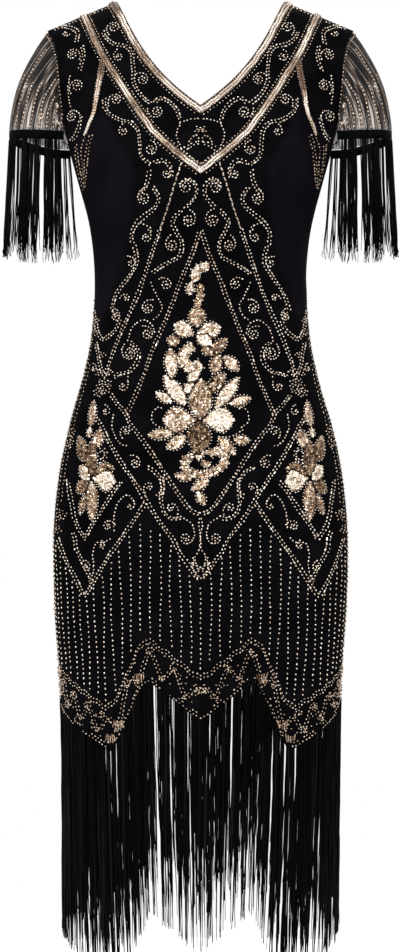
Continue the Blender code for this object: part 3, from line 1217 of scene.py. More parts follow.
LINES = (
    # Along the shoulder seam
    Line(Row.DOUBLE, ((104, -7), (111, -10), (119, -13), (127, -17))),
    Line(Row.DOUBLE, ((141, -23), (149, -26), (158, -30), (167, -33))),
    # Between the armhole and its band
    Line(Row.DOUBLE, ((157, -30), (147, -33), (138, -40), (139, -54))),
    Line(Row.DOUBLE, ((132, -58), (130, -70), (135, -88))),
    Line(Row.SINGLE, ((145, -92), (147, -108), (144, -127))),
    Line(Row.DOUBLE, ((131, -140), (136, -157), (143, -164))),
    # From the end of the armhole's band to the underarm
    Line(Row.DOUBLE, ((120, -162), (124, -178), (126, -195), (128, -215)), 0.40),
    Line(Row.DOUBLE, ((137, -170), (136, -186), (133, -203), (129, -217)), 0.40),
    Line(Row.SINGLE, ((127, -164), (131, -176), (130, -190), (130, -204)), 0.36),
    # Between the neckline and the yoke
    Line(Row.DOUBLE, ((109, -42), (105, -50), (96, -58), (84, -61), (77, -69), (75, -80), (74, -92),
                      (74, -103), (69, -115), (61, -125), (53, -131))),
    Line(Row.DOUBLE, ((50, -129), (44, -124), (34, -129), (27, -137), (22, -150))),
    Line(Row.SINGLE, ((22, -153), (8, -149), (0, -149))),
    Line(Row.SINGLE, ((22, -154), (26, -168), (21, -183))),
    Line(Row.SINGLE, ((12, -175), (9, -170), (5, -168), (2, -171), (2, -176))),
    Line(Row.DOUBLE, ((3, -177), (8, -178), (13, -181), (18, -184))),
    Line(Row.SINGLE, ((21, -184), (14, -190), (7, -196), (1, -200))),
    # Under the yoke, along the plain side of the bust
    Line(Row.DOUBLE, ((106, -122), (105, -132), (99, -141), (88, -148), (75, -152), (68, -162),
                      (66, -175), (65, -188), (60, -195), (52, -201))),
    Line(Row.DOUBLE, ((50, -198), (40, -196), (32, -204), (32, -214))),
    Line(Row.DOUBLE, ((55, -206), (57, -217), (60, -224), (66, -232))),
    Line(Row.DOUBLE, ((51, -224), (45, -236), (50, -246), (59, -253), (69, -261), (75, -272), (74, -284))),
    Line(Row.SINGLE, ((65, -261), (55, -266), (53, -273))),
    Line(Row.DOUBLE, ((72, -285), (69, -302), (76, -315), (86, -329), (93, -341), (98, -356))),
    # The long line from the yoke to the hip
    Line(Row.BUGLE, ((21, -200), (29, -224), (35, -244), (44, -269))),
    Line(Row.DOUBLE, ((44, -269), (52, -291), (60, -315), (70, -343), (87, -381), (97, -406), (105, -428))),
    # The column of scrolls between the long line and the diamond
    Line(Row.DOUBLE, ((22, -222), (14, -216), (5, -223), (6, -235), (17, -247))),
    Line(Row.DOUBLE, ((21, -249), (30, -260), (26, -272), (20, -284), (23, -297), (33, -303), (44, -309),
                      (54, -316))),
    Line(Row.SINGLE, ((54, -326), (48, -340), (42, -352), (46, -363), (53, -368))),
    Line(Row.SINGLE, ((79, -390), (75, -377), (67, -369), (59, -368), (52, -374), (50, -382))),
    Line(Row.DOUBLE, ((76, -392), (69, -399), (67, -408), (71, -418), (79, -425), (89, -427), (95, -430))),
    Line(Row.SINGLE, ((78, -426), (79, -434))),
    Line(Row.DOUBLE, ((116, -390), (113, -405), (111, -416), (108, -424), (103, -431))),
    # The plain cloth's lower corner
    Line(Row.DOUBLE, ((88, -366), (93, -377), (101, -384), (109, -386), (115, -374), (119, -352))),
    # The diamond and the lines round it
    Line(Row.DOUBLE, ((1, -271), (4, -280), (10, -297), (22, -325), (30, -347), (42, -377), (53, -403),
                      (61, -427), (70, -449), (77, -464), (81, -473)), 0.64),
    Line(Row.DOUBLE, ((98, -450), (90, -461), (82, -470), (76, -483), (65, -497), (54, -513), (36, -541),
                      (20, -565), (10, -577), (0, -581)), 0.70),
    Line(Row.DOUBLE, ((118, -470), (109, -484), (99, -503), (84, -528), (75, -541), (61, -563), (46, -587),
                      (37, -599))),
    Line(Row.DOUBLE, ((37, -599), (29, -610), (23, -623), (16, -632), (9, -643), (1, -652))),
    Line(Row.SINGLE, ((0, -617), (4, -624), (8, -633), (8, -642), (3, -651))),
    Line(Row.SINGLE, ((95, -472), (97, -485), (93, -496), (86, -505), (78, -506))),
    Line(Row.DOUBLE, ((57, -530), (48, -536), (42, -546), (42, -556), (48, -562))),
    Line(Row.DOUBLE, ((42, -541), (41, -553), (43, -566), (39, -580), (30, -586), (22, -585))),
    Line(Row.SINGLE, ((25, -581), (17, -586), (9, -592), (6, -603))),
    Line(Row.SINGLE, ((1, -586), (2, -594), (0, -604), (1, -616))),
    # Round the hip flower and down to the columns
    Line(Row.DOUBLE, ((86, -546), (95, -557), (103, -570), (111, -582), (119, -594), (126, -606))),
    Line(Row.DOUBLE, ((158, -610), (149, -634), (139, -654), (129, -671), (121, -662), (112, -647),
                      (99, -626), (86, -608), (67, -580), (59, -568))),
    Line(Row.DOUBLE, ((126, -609), (134, -599), (140, -585), (142, -572), (145, -558), (147, -544))),
    Line(Row.DOUBLE, ((122, -650), (129, -637), (138, -620), (139, -610), (142, -601))),
    Line(Row.SINGLE, ((121, -652), (118, -647), (117, -637), (118, -624),
                      (114, -613), (104, -612), (97, -607))),
    Line(Row.SINGLE, ((72, -567), (77, -561), (83, -561), (89, -568), (92, -576), (94, -586), (94, -600))),
    # Curls by the hip flowers
    Line(Row.DOUBLE, ((112, -524), (106, -521), (103, -515), (107, -510), (112, -512))),
    # Curls beside the big flower
    Line(Row.SINGLE, ((45, -486), (52, -480), (52, -470), (45, -464), (40, -468))),
    Line(Row.SINGLE, ((46, -489), (38, -494), (28, -497), (18, -496))),
)
SCROLLS = (
    Scroll(152, -40, 3.6, 200), Scroll(143, -67, 7.2, 215, -1), Scroll(137, -104, 7.4, -50),
    Scroll(142, -138, 7.0, 200, -1), Scroll(97, -37, 7.2, -60), Scroll(91, -73, 5.8, 80, -1),
    Scroll(64, -101, 7.0, 30), Scroll(48, -140, 7.4, 20, -1), Scroll(93, -124, 7.0, -40),
    Scroll(84, -161, 5.4, 80, -1), Scroll(54, -183, 6.8, 90), Scroll(37, -210, 5.4, 130),
    Scroll(61, -235, 7.0, 80, -1), Scroll(59, -276, 5.6, 110), Scroll(76, -303, 5.6, 60),
    Scroll(16, -224, 7.4, 150, -1), Scroll(13, -259, 7.4, 100), Scroll(31, -285, 7.0, 80, -1),
    Scroll(38, -328, 6.6, 40), Scroll(57, -354, 7.2, 120, -1), Scroll(58, -383, 7.0, 60),
    Scroll(77, -404, 8.0, 60, -1), Scroll(85, -441, 5.4, 140), Scroll(81, -342, 4.6, 0),
    Scroll(93, -362, 5.6, 90), Scroll(104, -468, 4.8, 90), Scroll(81, -490, 6.0, 300),
    Scroll(71, -525, 6.4, 60), Scroll(56, -551, 5.4, -60), Scroll(101, -594, 5.8, 170, -1),
    Scroll(32, -574, 5.4, 200, -1), Scroll(16, -607, 6.8, 160), Scroll(76, -572, 4.4, 120),
    Scroll(126, -640, 5.0, 90), Scroll(108, -616, 4.0, 90), Scroll(8, -634, 3.8, 90),
    Scroll(119, -419, 4.0, 90),
)
CLUSTERS = (
    Cluster(106, -440, 9.5), Cluster(113, -447, 6.0), Cluster(112, -424, 5.0), Cluster(2, -161, 4.6),
    Cluster(100, -424, 4.5), Cluster(2, -640, 4.0), Cluster(121, -655, 4.0, 0.5),
    Cluster(108, -404, 4.5, 0.6),
    Cluster(93, -360, 4.5, 0.6), Cluster(116, -364, 3.6, 0.6), Cluster(117, -378, 4.0, 0.6),
    # Beside the hip flower
    Cluster(144, -492, 6.0, 0.6), Cluster(146, -503, 6.0, 0.6), Cluster(154, -583, 6.5, 0.6),
    Cluster(158, -600, 5.0, 0.6),
)
HEART: Spot = (-1.0, -478.0)
FLOWER = (
    Petal((-31, 20), (-47, 30), 9, 0.85), Petal((-29, -14), (-55, -17), 10, 0.55),
    Petal((-16, -18), (-35, -31), 13, 0.75), Petal((21, -20), (38, -37), 11, 0.58),
    Petal((38, -22), (54, -22), 9, 0.62), Petal((34, 18), (55, 24), 10, 0.74),
    Petal((-15, 29), (-8, 42), 10, 0.92), Petal((-12, 43), (-1, 53), 10, 0.82),
    Petal((10, 30), (27, 51), 13, 0.48), Petal((12, 31), (17, 42), 8, 0.60),
    Petal((-16, 17), (-38, 48), 15, 1.00), Petal((18, 13), (42, 46), 13, 0.88),
    Petal((-4, 0), (-39, 0), 27, 0.74, 0.62), Petal((4, 0), (37, 0), 25, 0.95, 0.60),
    Petal((0, -25), (-1, -43), 13, 0.78), Petal((0, -2), (-1, -36), 24, 0.16),
    Petal((0, 1), (2, 44), 24, 0.62),
    Petal((-10, -64), (-26, -60), 7, 0.58), Petal((9, -66), (-8, -76), 9, 0.72),
    Petal((-2, -79), (5, -92), 8, 0.80),
    # The spray above
    Petal((-23, 86), (-35, 89), 11, 0.58), Petal((-32, 78), (-30, 46), 13, 0.72),
    Petal((10, 71), (29, 89), 11, 0.36), Petal((14, 71), (3, 80), 8, 0.62),
    Petal((27, 69), (42, 55), 12, 0.78), Petal((21, 71), (15, 51), 12, 0.46),
    Petal((-2, 103), (-4, 125), 17, 0.56), Petal((-7, 94), (-27, 105), 16, 0.80, 0.60),
    Petal((-4, 94), (22, 102), 17, 0.78, 0.60), Petal((-2, 92), (13, 83), 13, 0.95),
    Petal((-10, 151), (-11, 139), 8, 0.80),
)
FLOWER_CURLS = (
    Garland(((-7, -40), (-14, -42), (-17, -49), (-13, -56), (-1, -60), (11, -58), (23, -52), (28, -44),
             (24, -36), (15, -34), (10, -39)), 6.0, 0.66),
    Garland(((3, -51), (6, -47), (10, -51)), 4.5, 0.60),
    Garland(((-7, 82), (-16, 75), (-19, 68), (-15, 60), (-7, 57), (3, 63)), 9.0, 0.88),
    Garland(((11, 169), (3, 169), (-4, 165), (-5, 158), (-3, 153)), 7.0, 0.82),
    Garland(((3, 150), (0, 145), (1, 136), (-3, 130), (-2, 124)), 4.8, 0.42),
)
HIP_HEART: Spot = (119.0, -541.0)
HIP_FLOWER = (
    Petal((5, 57), (3, 84), 11, 0.70), Petal((7, 45), (6, 55), 7, 0.95), Petal((-4, 33), (-9, 52), 13, 0.60),
    Petal((10, 18), (24, 45), 15, 0.42), Petal((8, -19), (17, -40), 8, 0.55),
    Petal((6, -5), (23, -15), 13, 0.28),
    Petal((4, -2), (18, 12), 14, 0.90), Petal((-2, 4), (-27, 10), 15, 0.34, 0.60),
    Petal((-2, -1), (-29, -5), 22, 1.00, 0.64), Petal((0, 3), (2, 40), 14, 0.30),
    Petal((0, -5), (-1, -46), 14, 0.60),
)


class ColumnTop(NamedTuple):
    """Where the hanging columns start, at a distance from the centre line."""

    x: float
    z: float


class SideRow(NamedTuple):
    """A row of beads beside the side seam, at a part of the quarter turn, from its top down."""

    part: float
    top: float
    bottom: float


class BorderCoil(NamedTuple):
    """A coil in the hem's border: its part of the quarter turn, its height there and its radius in mm."""

    part: float
    level: float
    radius: float


COLUMN_TOPS = (
    ColumnTop(0.000, -0.662),
    ColumnTop(0.037, -0.607),
    ColumnTop(0.067, -0.590),
    ColumnTop(0.098, -0.634),
    ColumnTop(0.121, -0.668),
    ColumnTop(0.129, -0.678),
    ColumnTop(0.141, -0.662),
    ColumnTop(0.158, -0.622),
    ColumnTop(0.170, -0.590),
)
SIDE_ROWS = (
    SideRow(0.965, -0.340, -0.600),
    SideRow(0.905, -0.356, -0.600),
    SideRow(0.850, -0.385, -0.600),
    SideRow(0.795, -0.415, -0.570),
)
BORDER_COILS = (
    BorderCoil(0.022, 0.030, 5.0),
    BorderCoil(0.082, 0.012, 3.4),
    BorderCoil(0.14, 0.034, 4.8),
    BorderCoil(0.20, 0.014, 4.0),
    BorderCoil(0.262, 0.033, 4.6),
    BorderCoil(0.325, 0.014, 4.4),
    BorderCoil(0.378, 0.034, 4.6),
    BorderCoil(0.440, 0.014, 4.4),
    BorderCoil(0.525, 0.036, 5.2),
    BorderCoil(0.560, 0.014, 4.0),
    BorderCoil(0.620, 0.034, 4.6),
    BorderCoil(0.675, 0.014, 4.4),
    BorderCoil(0.735, 0.034, 4.4),
    BorderCoil(0.795, 0.014, 4.4),
    BorderCoil(0.850, 0.034, 4.6),
    BorderCoil(0.910, 0.014, 4.4),
    BorderCoil(0.965, 0.032, 4.6),
)


@dataclass
class Beadwork:
    """All that is sewn on one panel: lines, scrolls, columns, the hem's border and the flowers."""

    form: DressForm
    side: Side
    seed: float = 0.0019
    pitch: float = 0.0040
    bugle: float = 0.0046
    row_gap: float = 0.0032
    sequin: float = 0.0036
    sequin_pitch: float = 0.0026
    column_pitch: float = 0.0056
    columns: int = 20
    divide: float = -0.450
    # Size of the dark beads round leaves and garlands, which paint the shade between them.
    dark_bead: Size = (0.0014, 0.0014, 0.0012)
    bits: dict[BitKind, list[Bit]] = field(default_factory=lambda: {kind: [] for kind in BitKind})
    chance: random.Random = field(default_factory=lambda: random.Random(23))

    def spaced(self, spots: Sequence[Spot], pitch: float, shift: float = 0.0,
               offset: float = 0.0) -> Iterator[tuple[Spot, Spot]]:
        """Nearly even steps along a line on the cloth.

        Args:
            spots: The line, in metres.
            pitch: The step.
            shift: How far along the first one is.
            offset: How far to the line's left the steps are.

        Yields:
            Each spot and the direction there.
        """
        left = shift
        for start, end in zip(spots, spots[1:]):
            first, second = (self.form.bare(x, self.form.height_of(x, z), self.side) for x, z in (start, end))
            length = (second - first).length
            if length < 1e-7:
                continue
            flat = math.hypot(end[0] - start[0], end[1] - start[1])
            ahead = ((end[0] - start[0]) / flat, (end[1] - start[1]) / flat)
            while left <= length:
                t = left / length
                x = start[0] + (end[0] - start[0]) * t - ahead[1] * offset
                z = start[1] + (end[1] - start[1]) * t + ahead[0] * offset
                yield (x, z), ahead
                left += pitch * self.chance.uniform(0.9, 1.1)
            left -= length

    def sew(self, kind: BitKind, spot: Spot, ahead: Spot, size: Size, tone: float,
            tilt: float = 0.0) -> None:
        """Sew one small thing on.

        Args:
            kind: What it is.
            spot: Where, in metres.
            ahead: Which way it lies on the cloth.
            size: Its length, width and thickness.
            tone: How pale it is.
            tilt: How far it may lean, in radians.
        """
        lift = size[2] * 0.42 if kind is not BitKind.SEQUIN else size[2] * 0.16 + 0.0004
        place, out = self.form.at(spot[0], spot[1], self.side, lift)
        next_height = self.form.height_of(spot[0], spot[1] + ahead[1] * MM)
        further = self.form.bare(spot[0] + ahead[0] * MM, next_height, self.side)
        here = self.form.bare(spot[0], self.form.height_of(*spot), self.side)
        along = further - here
        along = along.normalized() if along.length > 1e-7 else Vector((0.0, 0.0, -1.0))
        if tilt:
            out = (out + Vector([self.chance.uniform(-tilt, tilt) for _ in range(3)])).normalized()
        self.bits[kind].append(Bit(place, along, out, size, tone))

    def seed_at(self, spot: Spot, ahead: Spot, grow: float = 1.0, tone: float = 0.8) -> None:
        """Sew a seed bead on, a little uneven in size and tone.

        Args:
            spot: Where, in metres.
            ahead: Which way it lies.
            grow: How big it is beside the others.
            tone: How pale it is.
        """
        size = self.seed * grow * self.chance.uniform(0.86, 1.12)
        stray = tuple(value + self.chance.uniform(-0.35, 0.35) * MM for value in spot)
        long = size * self.chance.uniform(1.0, 1.5)
        shade = tone + self.chance.uniform(-0.36, 0.18)
        self.sew(BitKind.SEED, stray, ahead, (long, size * 0.92, size * 0.92), shade)

    def seeds(self, spots: Sequence[Spot], pitch: float, offset: float = 0.0, grow: float = 1.0,
              tone: float = 0.8) -> None:
        """Sew a row of seed beads along a line, in metres."""
        for spot, ahead in self.spaced(spots, pitch, offset=offset):
            self.seed_at(spot, ahead, grow, tone)

    def line(self, line: Line) -> None:
        """Sew one line of the pattern on both halves.

        Args:
            line: The line.
        """
        for hand in Hand:
            spots = smooth_line([(x * MM * hand.value, z * MM) for x, z in line.spots])
            if line.row is Row.BUGLE:
                for index, (spot, ahead) in enumerate(self.spaced(spots, self.bugle * 1.22)):
                    tilt = 0.22 if index % 2 else -0.18
                    leant = beside(ahead, ahead, tilt)
                    shade = self.chance.uniform(0.45, 0.85)
                    self.sew(BitKind.BUGLE, spot, leant, (self.bugle * 0.86, 0.0016, 0.0015), shade)
            elif line.row is Row.SINGLE:
                self.seeds(spots, self.pitch, tone=line.tone)
            else:
                self.double_row(spots, line.tone)

    def double_row(self, spots: Sequence[Spot], tone: float = 0.8) -> None:
        """Sew two rows side by side, an uneven gap apart, with a few short bugles among the beads.

        Args:
            spots: The line between them, in metres.
            tone: How pale the beads are.
        """
        for edge, shift in ((1, 0.0), (-1, self.pitch * 0.5)):
            for spot, ahead in self.spaced(spots, self.pitch * 1.08, shift):
                uneven = noise.noise(Vector((spot[0] * 40, spot[1] * 40, 2.0)))
                offset = edge * self.row_gap / 2 * (0.95 + 0.6 * uneven)
                place = beside(spot, ahead, offset)
                if edge > 0 and self.chance.random() < 0.10:
                    shade = tone + self.chance.uniform(-0.25, 0.12)
                    self.sew(BitKind.BUGLE, place, ahead, (0.0032, 0.0017, 0.0016), shade)
                else:
                    self.seed_at(place, ahead, 1.0, tone)

    def scroll(self, scroll: Scroll) -> None:
        """Sew one coiled curl on both halves."""
        for hand in Hand:
            heart = scroll.x * MM, scroll.z * MM
            self.coil(hand, heart, scroll.radius * MM, math.radians(scroll.tail), scroll.way)

    def coil(self, hand: Hand, heart: Spot, radius: float, tail: float, way: int = 1,
             tone: float = 0.8) -> None:
        """Sew a coil of beads, which winds in from a wider arm to a bead at its heart.

        Args:
            hand: Which half it is on.
            heart: Its middle on the left half, in metres.
            radius: How far its outer round is from there.
            tail: Where its arm begins, as an angle.
            way: Which way it winds.
            tone: How pale its beads are.
        """
        steps = 36
        turns = max(radius / 0.0042, 1.0)
        spots = []
        for i in range(steps + 1):
            t = i / steps
            reach = radius * (1 - 0.72 * t + 0.45 * max(1 - 5 * t, 0.0) ** 2)
            turn = tail + way * 2 * math.pi * turns * t
            x, z = heart[0] + reach * math.cos(turn), heart[1] + reach * math.sin(turn)
            spots.append((hand.value * x, z))
        self.seeds(spots, self.pitch * 0.88, grow=0.98, tone=tone)
        self.seed_at((hand.value * heart[0], heart[1]), (1.0, 0.0), 1.0, tone)

    def cluster(self, cluster: Cluster) -> None:
        """Sew a close cluster of beads on both halves.

        Args:
            cluster: The cluster.
        """
        count = max(round((cluster.radius / 1.9) ** 2), 5)
        for hand in Hand:
            for i in range(count):
                turn, reach = i * SPREAD_TURN, cluster.radius * math.sqrt((i + 0.5) / count)
                x, z = cluster.x + reach * math.cos(turn), cluster.z + reach * math.sin(turn)
                self.seed_at((hand.value * x * MM, z * MM), (1.0, 0.0), 0.98, cluster.tone)

    def flower(self, petals: Sequence[Petal], wrap: Wrap) -> None:
        """Lay leaves of sequins over one another, the later ones on top.

        Args:
            petals: The leaves.
            wrap: Takes a place in the motif, in millimetres, to one on the panel.
        """
        for index, petal in enumerate(petals):
            above = petals[index + 1:]
            self.leaf(petal, above, wrap)
            # Dark beads close round the leaf paint the shade between overlapping leaves; bright ones lie
            # further out.
            self.outline(petal, above, wrap, 0.4, 1.6)
            self.outline(petal, (*petals[:index], *above), wrap, 1.7, 3.6)

    def leaf(self, petal: Petal, above: Sequence[Petal], wrap: Wrap) -> None:
        """Fill a leaf with overlapping sequins, where no other leaf lies over it.

        Args:
            petal: The leaf.
            above: The leaves that lie over it.
            wrap: Takes a place in the motif, in millimetres, to one on the panel.
        """
        pitch = self.sequin_pitch / MM
        rows = max(round(petal.length() / pitch), 2)
        tip, base = wrap(*petal.tip), wrap(*petal.base)
        ahead = tip[0] - base[0], tip[1] - base[1]
        for row in range(rows + 1):
            along = (row + 0.3) / (rows + 0.6)
            half = petal.half_width(along)
            count = max(round(2 * half / pitch), 0)
            for i in range(count + 1):
                aside = (i / count * 2 - 1 if count else 0.0) + self.chance.uniform(-0.06, 0.06)
                place = petal.at(along, max(half - 1.5, 0.0) * aside)
                if any(other.covers(place, 2.4) for other in above):
                    continue
                patch = noise.noise(Vector((place[0] * 0.13, place[1] * 0.13, petal.tone * 9)))
                shade = petal.tone + 0.30 * patch + 0.10 * abs(aside) + self.chance.uniform(-0.46, 0.20)
                self.spangle(wrap(*place), ahead, shade)

    def spangle(self, spot: Spot, ahead: Spot, tone: float) -> None:
        """Sew one sequin on, a little uneven in size and lean."""
        size = self.sequin * self.chance.uniform(0.85, 1.1)
        self.sew(BitKind.SEQUIN, spot, ahead, (size, size * 0.94, size), tone, tilt=0.42)

    def outline(self, petal: Petal, above: Sequence[Petal], wrap: Wrap, margin: float,
                step: float) -> None:
        """Sew beads round a leaf, where no other leaf lies over them.

        Args:
            petal: The leaf.
            above: The leaves that lie over it.
            wrap: Takes a place in the motif, in millimetres, to one on the panel.
            margin: How far outside the leaf they are: close to it dark beads that paint the shade between
                leaves, bright ones further out.
            step: How far apart they are.
        """
        parts = [i / 12 for i in range(13)]
        edge = [petal.at(part, petal.half_width(part) + margin) for part in parts]
        edge.append(petal.at(1 + margin / petal.length(), 0.0))
        edge += [petal.at(part, -petal.half_width(part) - margin) for part in reversed(parts)]
        left = 0.0
        for start, end in zip(edge, edge[1:]):
            length = math.dist(start, end)
            while left <= length:
                t = left / length
                place = start[0] + (end[0] - start[0]) * t, start[1] + (end[1] - start[1]) * t
                left += step
                if any(other.covers(place, 0.4 if margin < 1.0 else 2.6) for other in above):
                    continue
                # Close to the leaf: dark beads as painted shade.
                if margin < 1.0:
                    self.sew(BitKind.SEED, wrap(*place), (1.0, 0.0), self.dark_bead, 0.0)
                else:
                    self.seed_at(wrap(*place), (1.0, 0.0), 0.82, 0.85)
            left -= length

    def garland(self, garland: Garland, wrap: Wrap) -> None:
        """Lay sequins along a curve of the motif and edge it with bright beads and with dark beads that paint
        the shade along its edges.

        Args:
            garland: The band of sequins.
            wrap: Takes a place in the motif, in millimetres, to one on the panel.
        """
        spots = smooth_line(garland.spots)
        pitch = self.sequin_pitch / MM
        across = max(round(garland.width / pitch), 1)
        walked = {"sequins": 0.0, "dark": 0.0, "bright": 0.0}
        for start, end in zip(spots, spots[1:]):
            length = math.dist(start, end)
            if length < 1e-6:
                continue
            ahead = (end[0] - start[0]) / length, (end[1] - start[1]) / length
            # The dark beads are painted shade along the garland's edges; the bright ones are beads.
            for name, step in (("sequins", pitch * 0.95), ("dark", 1.6), ("bright", 4.4)):
                walked[name] += length
                if walked[name] < step:
                    continue
                walked[name] -= step
                reach = garland.width / 2 + (0.3 if name == "dark" else 1.9)
                asides = [-reach, reach]
                if name == "sequins":
                    asides = [garland.width * 0.42 * (i / across * 2 - 1) for i in range(across + 1)]
                for aside in asides:
                    spot = wrap(*beside(start, ahead, aside))
                    if name == "sequins":
                        self.spangle(spot, ahead, garland.tone + self.chance.uniform(-0.46, 0.22))
                    elif name == "dark":
                        self.sew(BitKind.SEED, spot, ahead, self.dark_bead, 0.0)
                    else:
                        self.seed_at(spot, ahead, 0.82, 0.85)

    def centre_flower(self) -> None:
        """The big flower in the diamond, with its spray above and its curl below."""
        facing = -self.side.value

        def wrap(u: float, v: float) -> Spot:
            """A place of the motif, on the panel."""
            return facing * (HEART[0] + u) * MM, (HEART[1] + v) * MM

        self.flower(FLOWER, wrap)
        for garland in FLOWER_CURLS:
            self.garland(garland, wrap)

    def hip_flowers(self) -> None:
        """A smaller flower on each hip, which wraps round towards the side."""
        heart_x, heart_z = HIP_HEART[0] * MM, HIP_HEART[1] * MM
        for hand in Hand:
            def wrap(u: float, v: float) -> Spot:
                """A place of the motif, on the panel, as far round the cloth."""
                height = heart_z + v * MM
                half_width = self.form.ring_size(height, self.side)[0]
                _, lengths = self.form.arc(heart_z, self.side, 0.0, heart_x)
                _, whole = self.form.arc(height, self.side, 0.0, half_width)
                part = min((lengths[-1] + u * MM) / whole[-1], 0.985)
                return hand.value * self.form.part_way(height, self.side, 0.0, half_width, part).x, height

            self.flower(HIP_FLOWER, wrap)

    def columns_top(self, x: float) -> float:
        """Where the columns of beads start under the nested lines, x from the centre line.

        Args:
            x: Distance from the centre line.

        Returns:
            The height where they start.
        """
        for start, end in zip(COLUMN_TOPS, COLUMN_TOPS[1:]):
            if x <= end.x:
                return start.z + (end.z - start.z) * (x - start.x) / (end.x - start.x)
        return COLUMN_TOPS[-1].z

    def border_line(self, depth: float, sway: float = 0.0, waves: float = 8.5) -> list[list[Spot]]:
        """A line that runs with the zigzag hem, on each half.

        Args:
            depth: How far above the hem it is.
            sway: How far it waves up and down.
            waves: How many waves each half has.

        Returns:
            The left and the right half's spots.
        """
        steps = 90
        halves = []
        for hand in Hand:
            spots = []
            for i in range(steps + 1):
                part = i / steps
                near = [self.form.hem_height(clamped(part + d), self.side) for d in (-0.03, 0.0, 0.03)]
                soft = sum(near) / 3
                height = soft + depth + sway * math.sin(2 * math.pi * waves * part + 0.6)
                spots.append((hand.value * self.form.round_point(part * 0.999, height, self.side).x, height))
            halves.append(spots)
        return halves

    def hanging_columns(self) -> None:
        """The rows of beads that run down between the nested lines and the border."""
        for hand in Hand:
            for index in range(self.columns + 1):
                if index == 0 and hand is Hand.RIGHT:
                    continue
                part = index / (self.columns + 0.2)
                sway = self.chance.uniform(0, WHOLE_TURN)
                top = self.columns_top(self.form.round_point(part, -0.64, self.side).x)
                bottom = self.form.hem_height(part, self.side) + 0.054
                height = top - self.chance.uniform(0.0, 0.004)
                while height > bottom:
                    wander = 0.005 * math.sin(height * 42 + sway) * min(index, 1)
                    point = self.form.round_point(part + wander, height, self.side)
                    self.seed_at((hand.value * point.x, height), (0.0, -1.0), 1.0, 0.86)
                    height -= self.column_pitch * self.chance.uniform(0.88, 1.12)

    def side_seam(self) -> None:
        """Close rows of beads down the side, from the waist to the border."""
        for hand in Hand:
            for part, top, bottom in SIDE_ROWS:
                height = top
                while height > bottom:
                    wander = self.chance.uniform(-0.003, 0.003)
                    point = self.form.round_point(part + wander, height, self.side)
                    self.seed_at((hand.value * point.x, height), (0.0, -1.0), 0.86, 0.58)
                    height -= 0.0043 * self.chance.uniform(0.85, 1.25)

    def border(self) -> None:
        """The zigzag border: rows along the hem, a vine and rows above it, and coils between them."""
        for depth, gaps in ((0.0024, 0.22), (0.0066, -0.05)):
            for spots in self.border_line(depth):
                for spot, ahead in self.spaced(spots, self.pitch * 1.15):
                    if noise.noise(Vector((spot[0] * 70, spot[1] * 70, depth * 900))) < gaps:
                        self.seed_at(spot, ahead, 0.94, 0.52)
        for spots in self.border_line(0.025, 0.010):
            self.seeds(spots, self.pitch * 1.1, self.row_gap / 2, grow=0.9, tone=0.55)
            self.seeds(spots, self.pitch * 1.3, -self.row_gap / 2, grow=0.86, tone=0.50)
        for depth in (0.0440, 0.0482):
            for spots in self.border_line(depth, 0.0014, 13.0):
                self.seeds(spots, self.pitch * 1.12, grow=0.9, tone=0.60)
        for hand in Hand:
            for index in range(52):
                part = (index + 0.5) / 40 if index < 32 else 0.80 + 0.19 * (index - 32) / 20
                jitter = self.chance.uniform(-0.012, 0.012)
                height = self.form.hem_height(min(part, 0.99), self.side) + self.chance.uniform(0.009, 0.041)
                point = self.form.round_point(clamped(part + jitter, 0.004, 0.992), height, self.side)
                self.seed_at((hand.value * point.x, height), (1.0, 0.0), 0.88, 0.42)
            for part, level, radius in BORDER_COILS:
                height = self.form.hem_height(part, self.side) + level
                x = self.form.round_point(part, height, self.side).x
                tail = self.chance.uniform(0, WHOLE_TURN)
                self.coil(hand, (x, height), radius * 0.86 * MM, tail, 1 if level < 0.02 else -1, 0.46)
            for part in (0.315, 0.43, 0.475):
                self.bugle_fan(hand, part)

    def bugle_fan(self, hand: Hand, part: float) -> None:
        """Long bugles set side by side above a point of the hem.

        Args:
            hand: Which half they are on.
            part: The point's part of the quarter turn.
        """
        for step in range(-2, 3):
            height = self.form.hem_height(part, self.side) + 0.013 + 0.001 * abs(step)
            point = self.form.round_point(part + step * 0.012, height, self.side)
            length = 0.009 * self.chance.uniform(0.6, 1.1)
            lean = 0.12 * step + self.chance.uniform(-0.12, 0.12)
            self.sew(BitKind.BUGLE, (hand.value * point.x, height), (lean, 1.0), (length, 0.0014, 0.0014),
                     self.chance.uniform(-0.1, 0.5))

    def build(self, finishes: Finishes) -> list[bpy.types.Object]:
        """Sew everything on and make the pieces.

        Args:
            finishes: The materials.

        Returns:
            The upper and lower beads, the bugles and the sequins.
        """
        for line in LINES:
            self.line(line)
        for scroll in SCROLLS:
            self.scroll(scroll)
        for cluster in CLUSTERS:
            self.cluster(cluster)
        self.centre_flower()
        self.hip_flowers()
        self.hanging_columns()
        self.side_seam()
        self.border()
        beads = self.bits[BitKind.SEED]
        upper = [bit for bit in beads if bit.place.z > self.divide]
        lower = [bit for bit in beads if bit.place.z <= self.divide]
        made = []
        for part, kind, bits, finish in (("upper_", BitKind.SEED, upper, finishes.bead),
                                         ("lower_", BitKind.SEED, lower, finishes.bead),
                                         ("", BitKind.BUGLE, self.bits[BitKind.BUGLE], finishes.bead),
                                         ("", BitKind.SEQUIN, self.bits[BitKind.SEQUIN], finishes.sequin)):
            name = f"{self.side.word}_{part}{kind.value}"
            made.append(put_in_scene(name, sewn_mesh(name, kind, bits), finish))
        return made


# ----- Bands -----


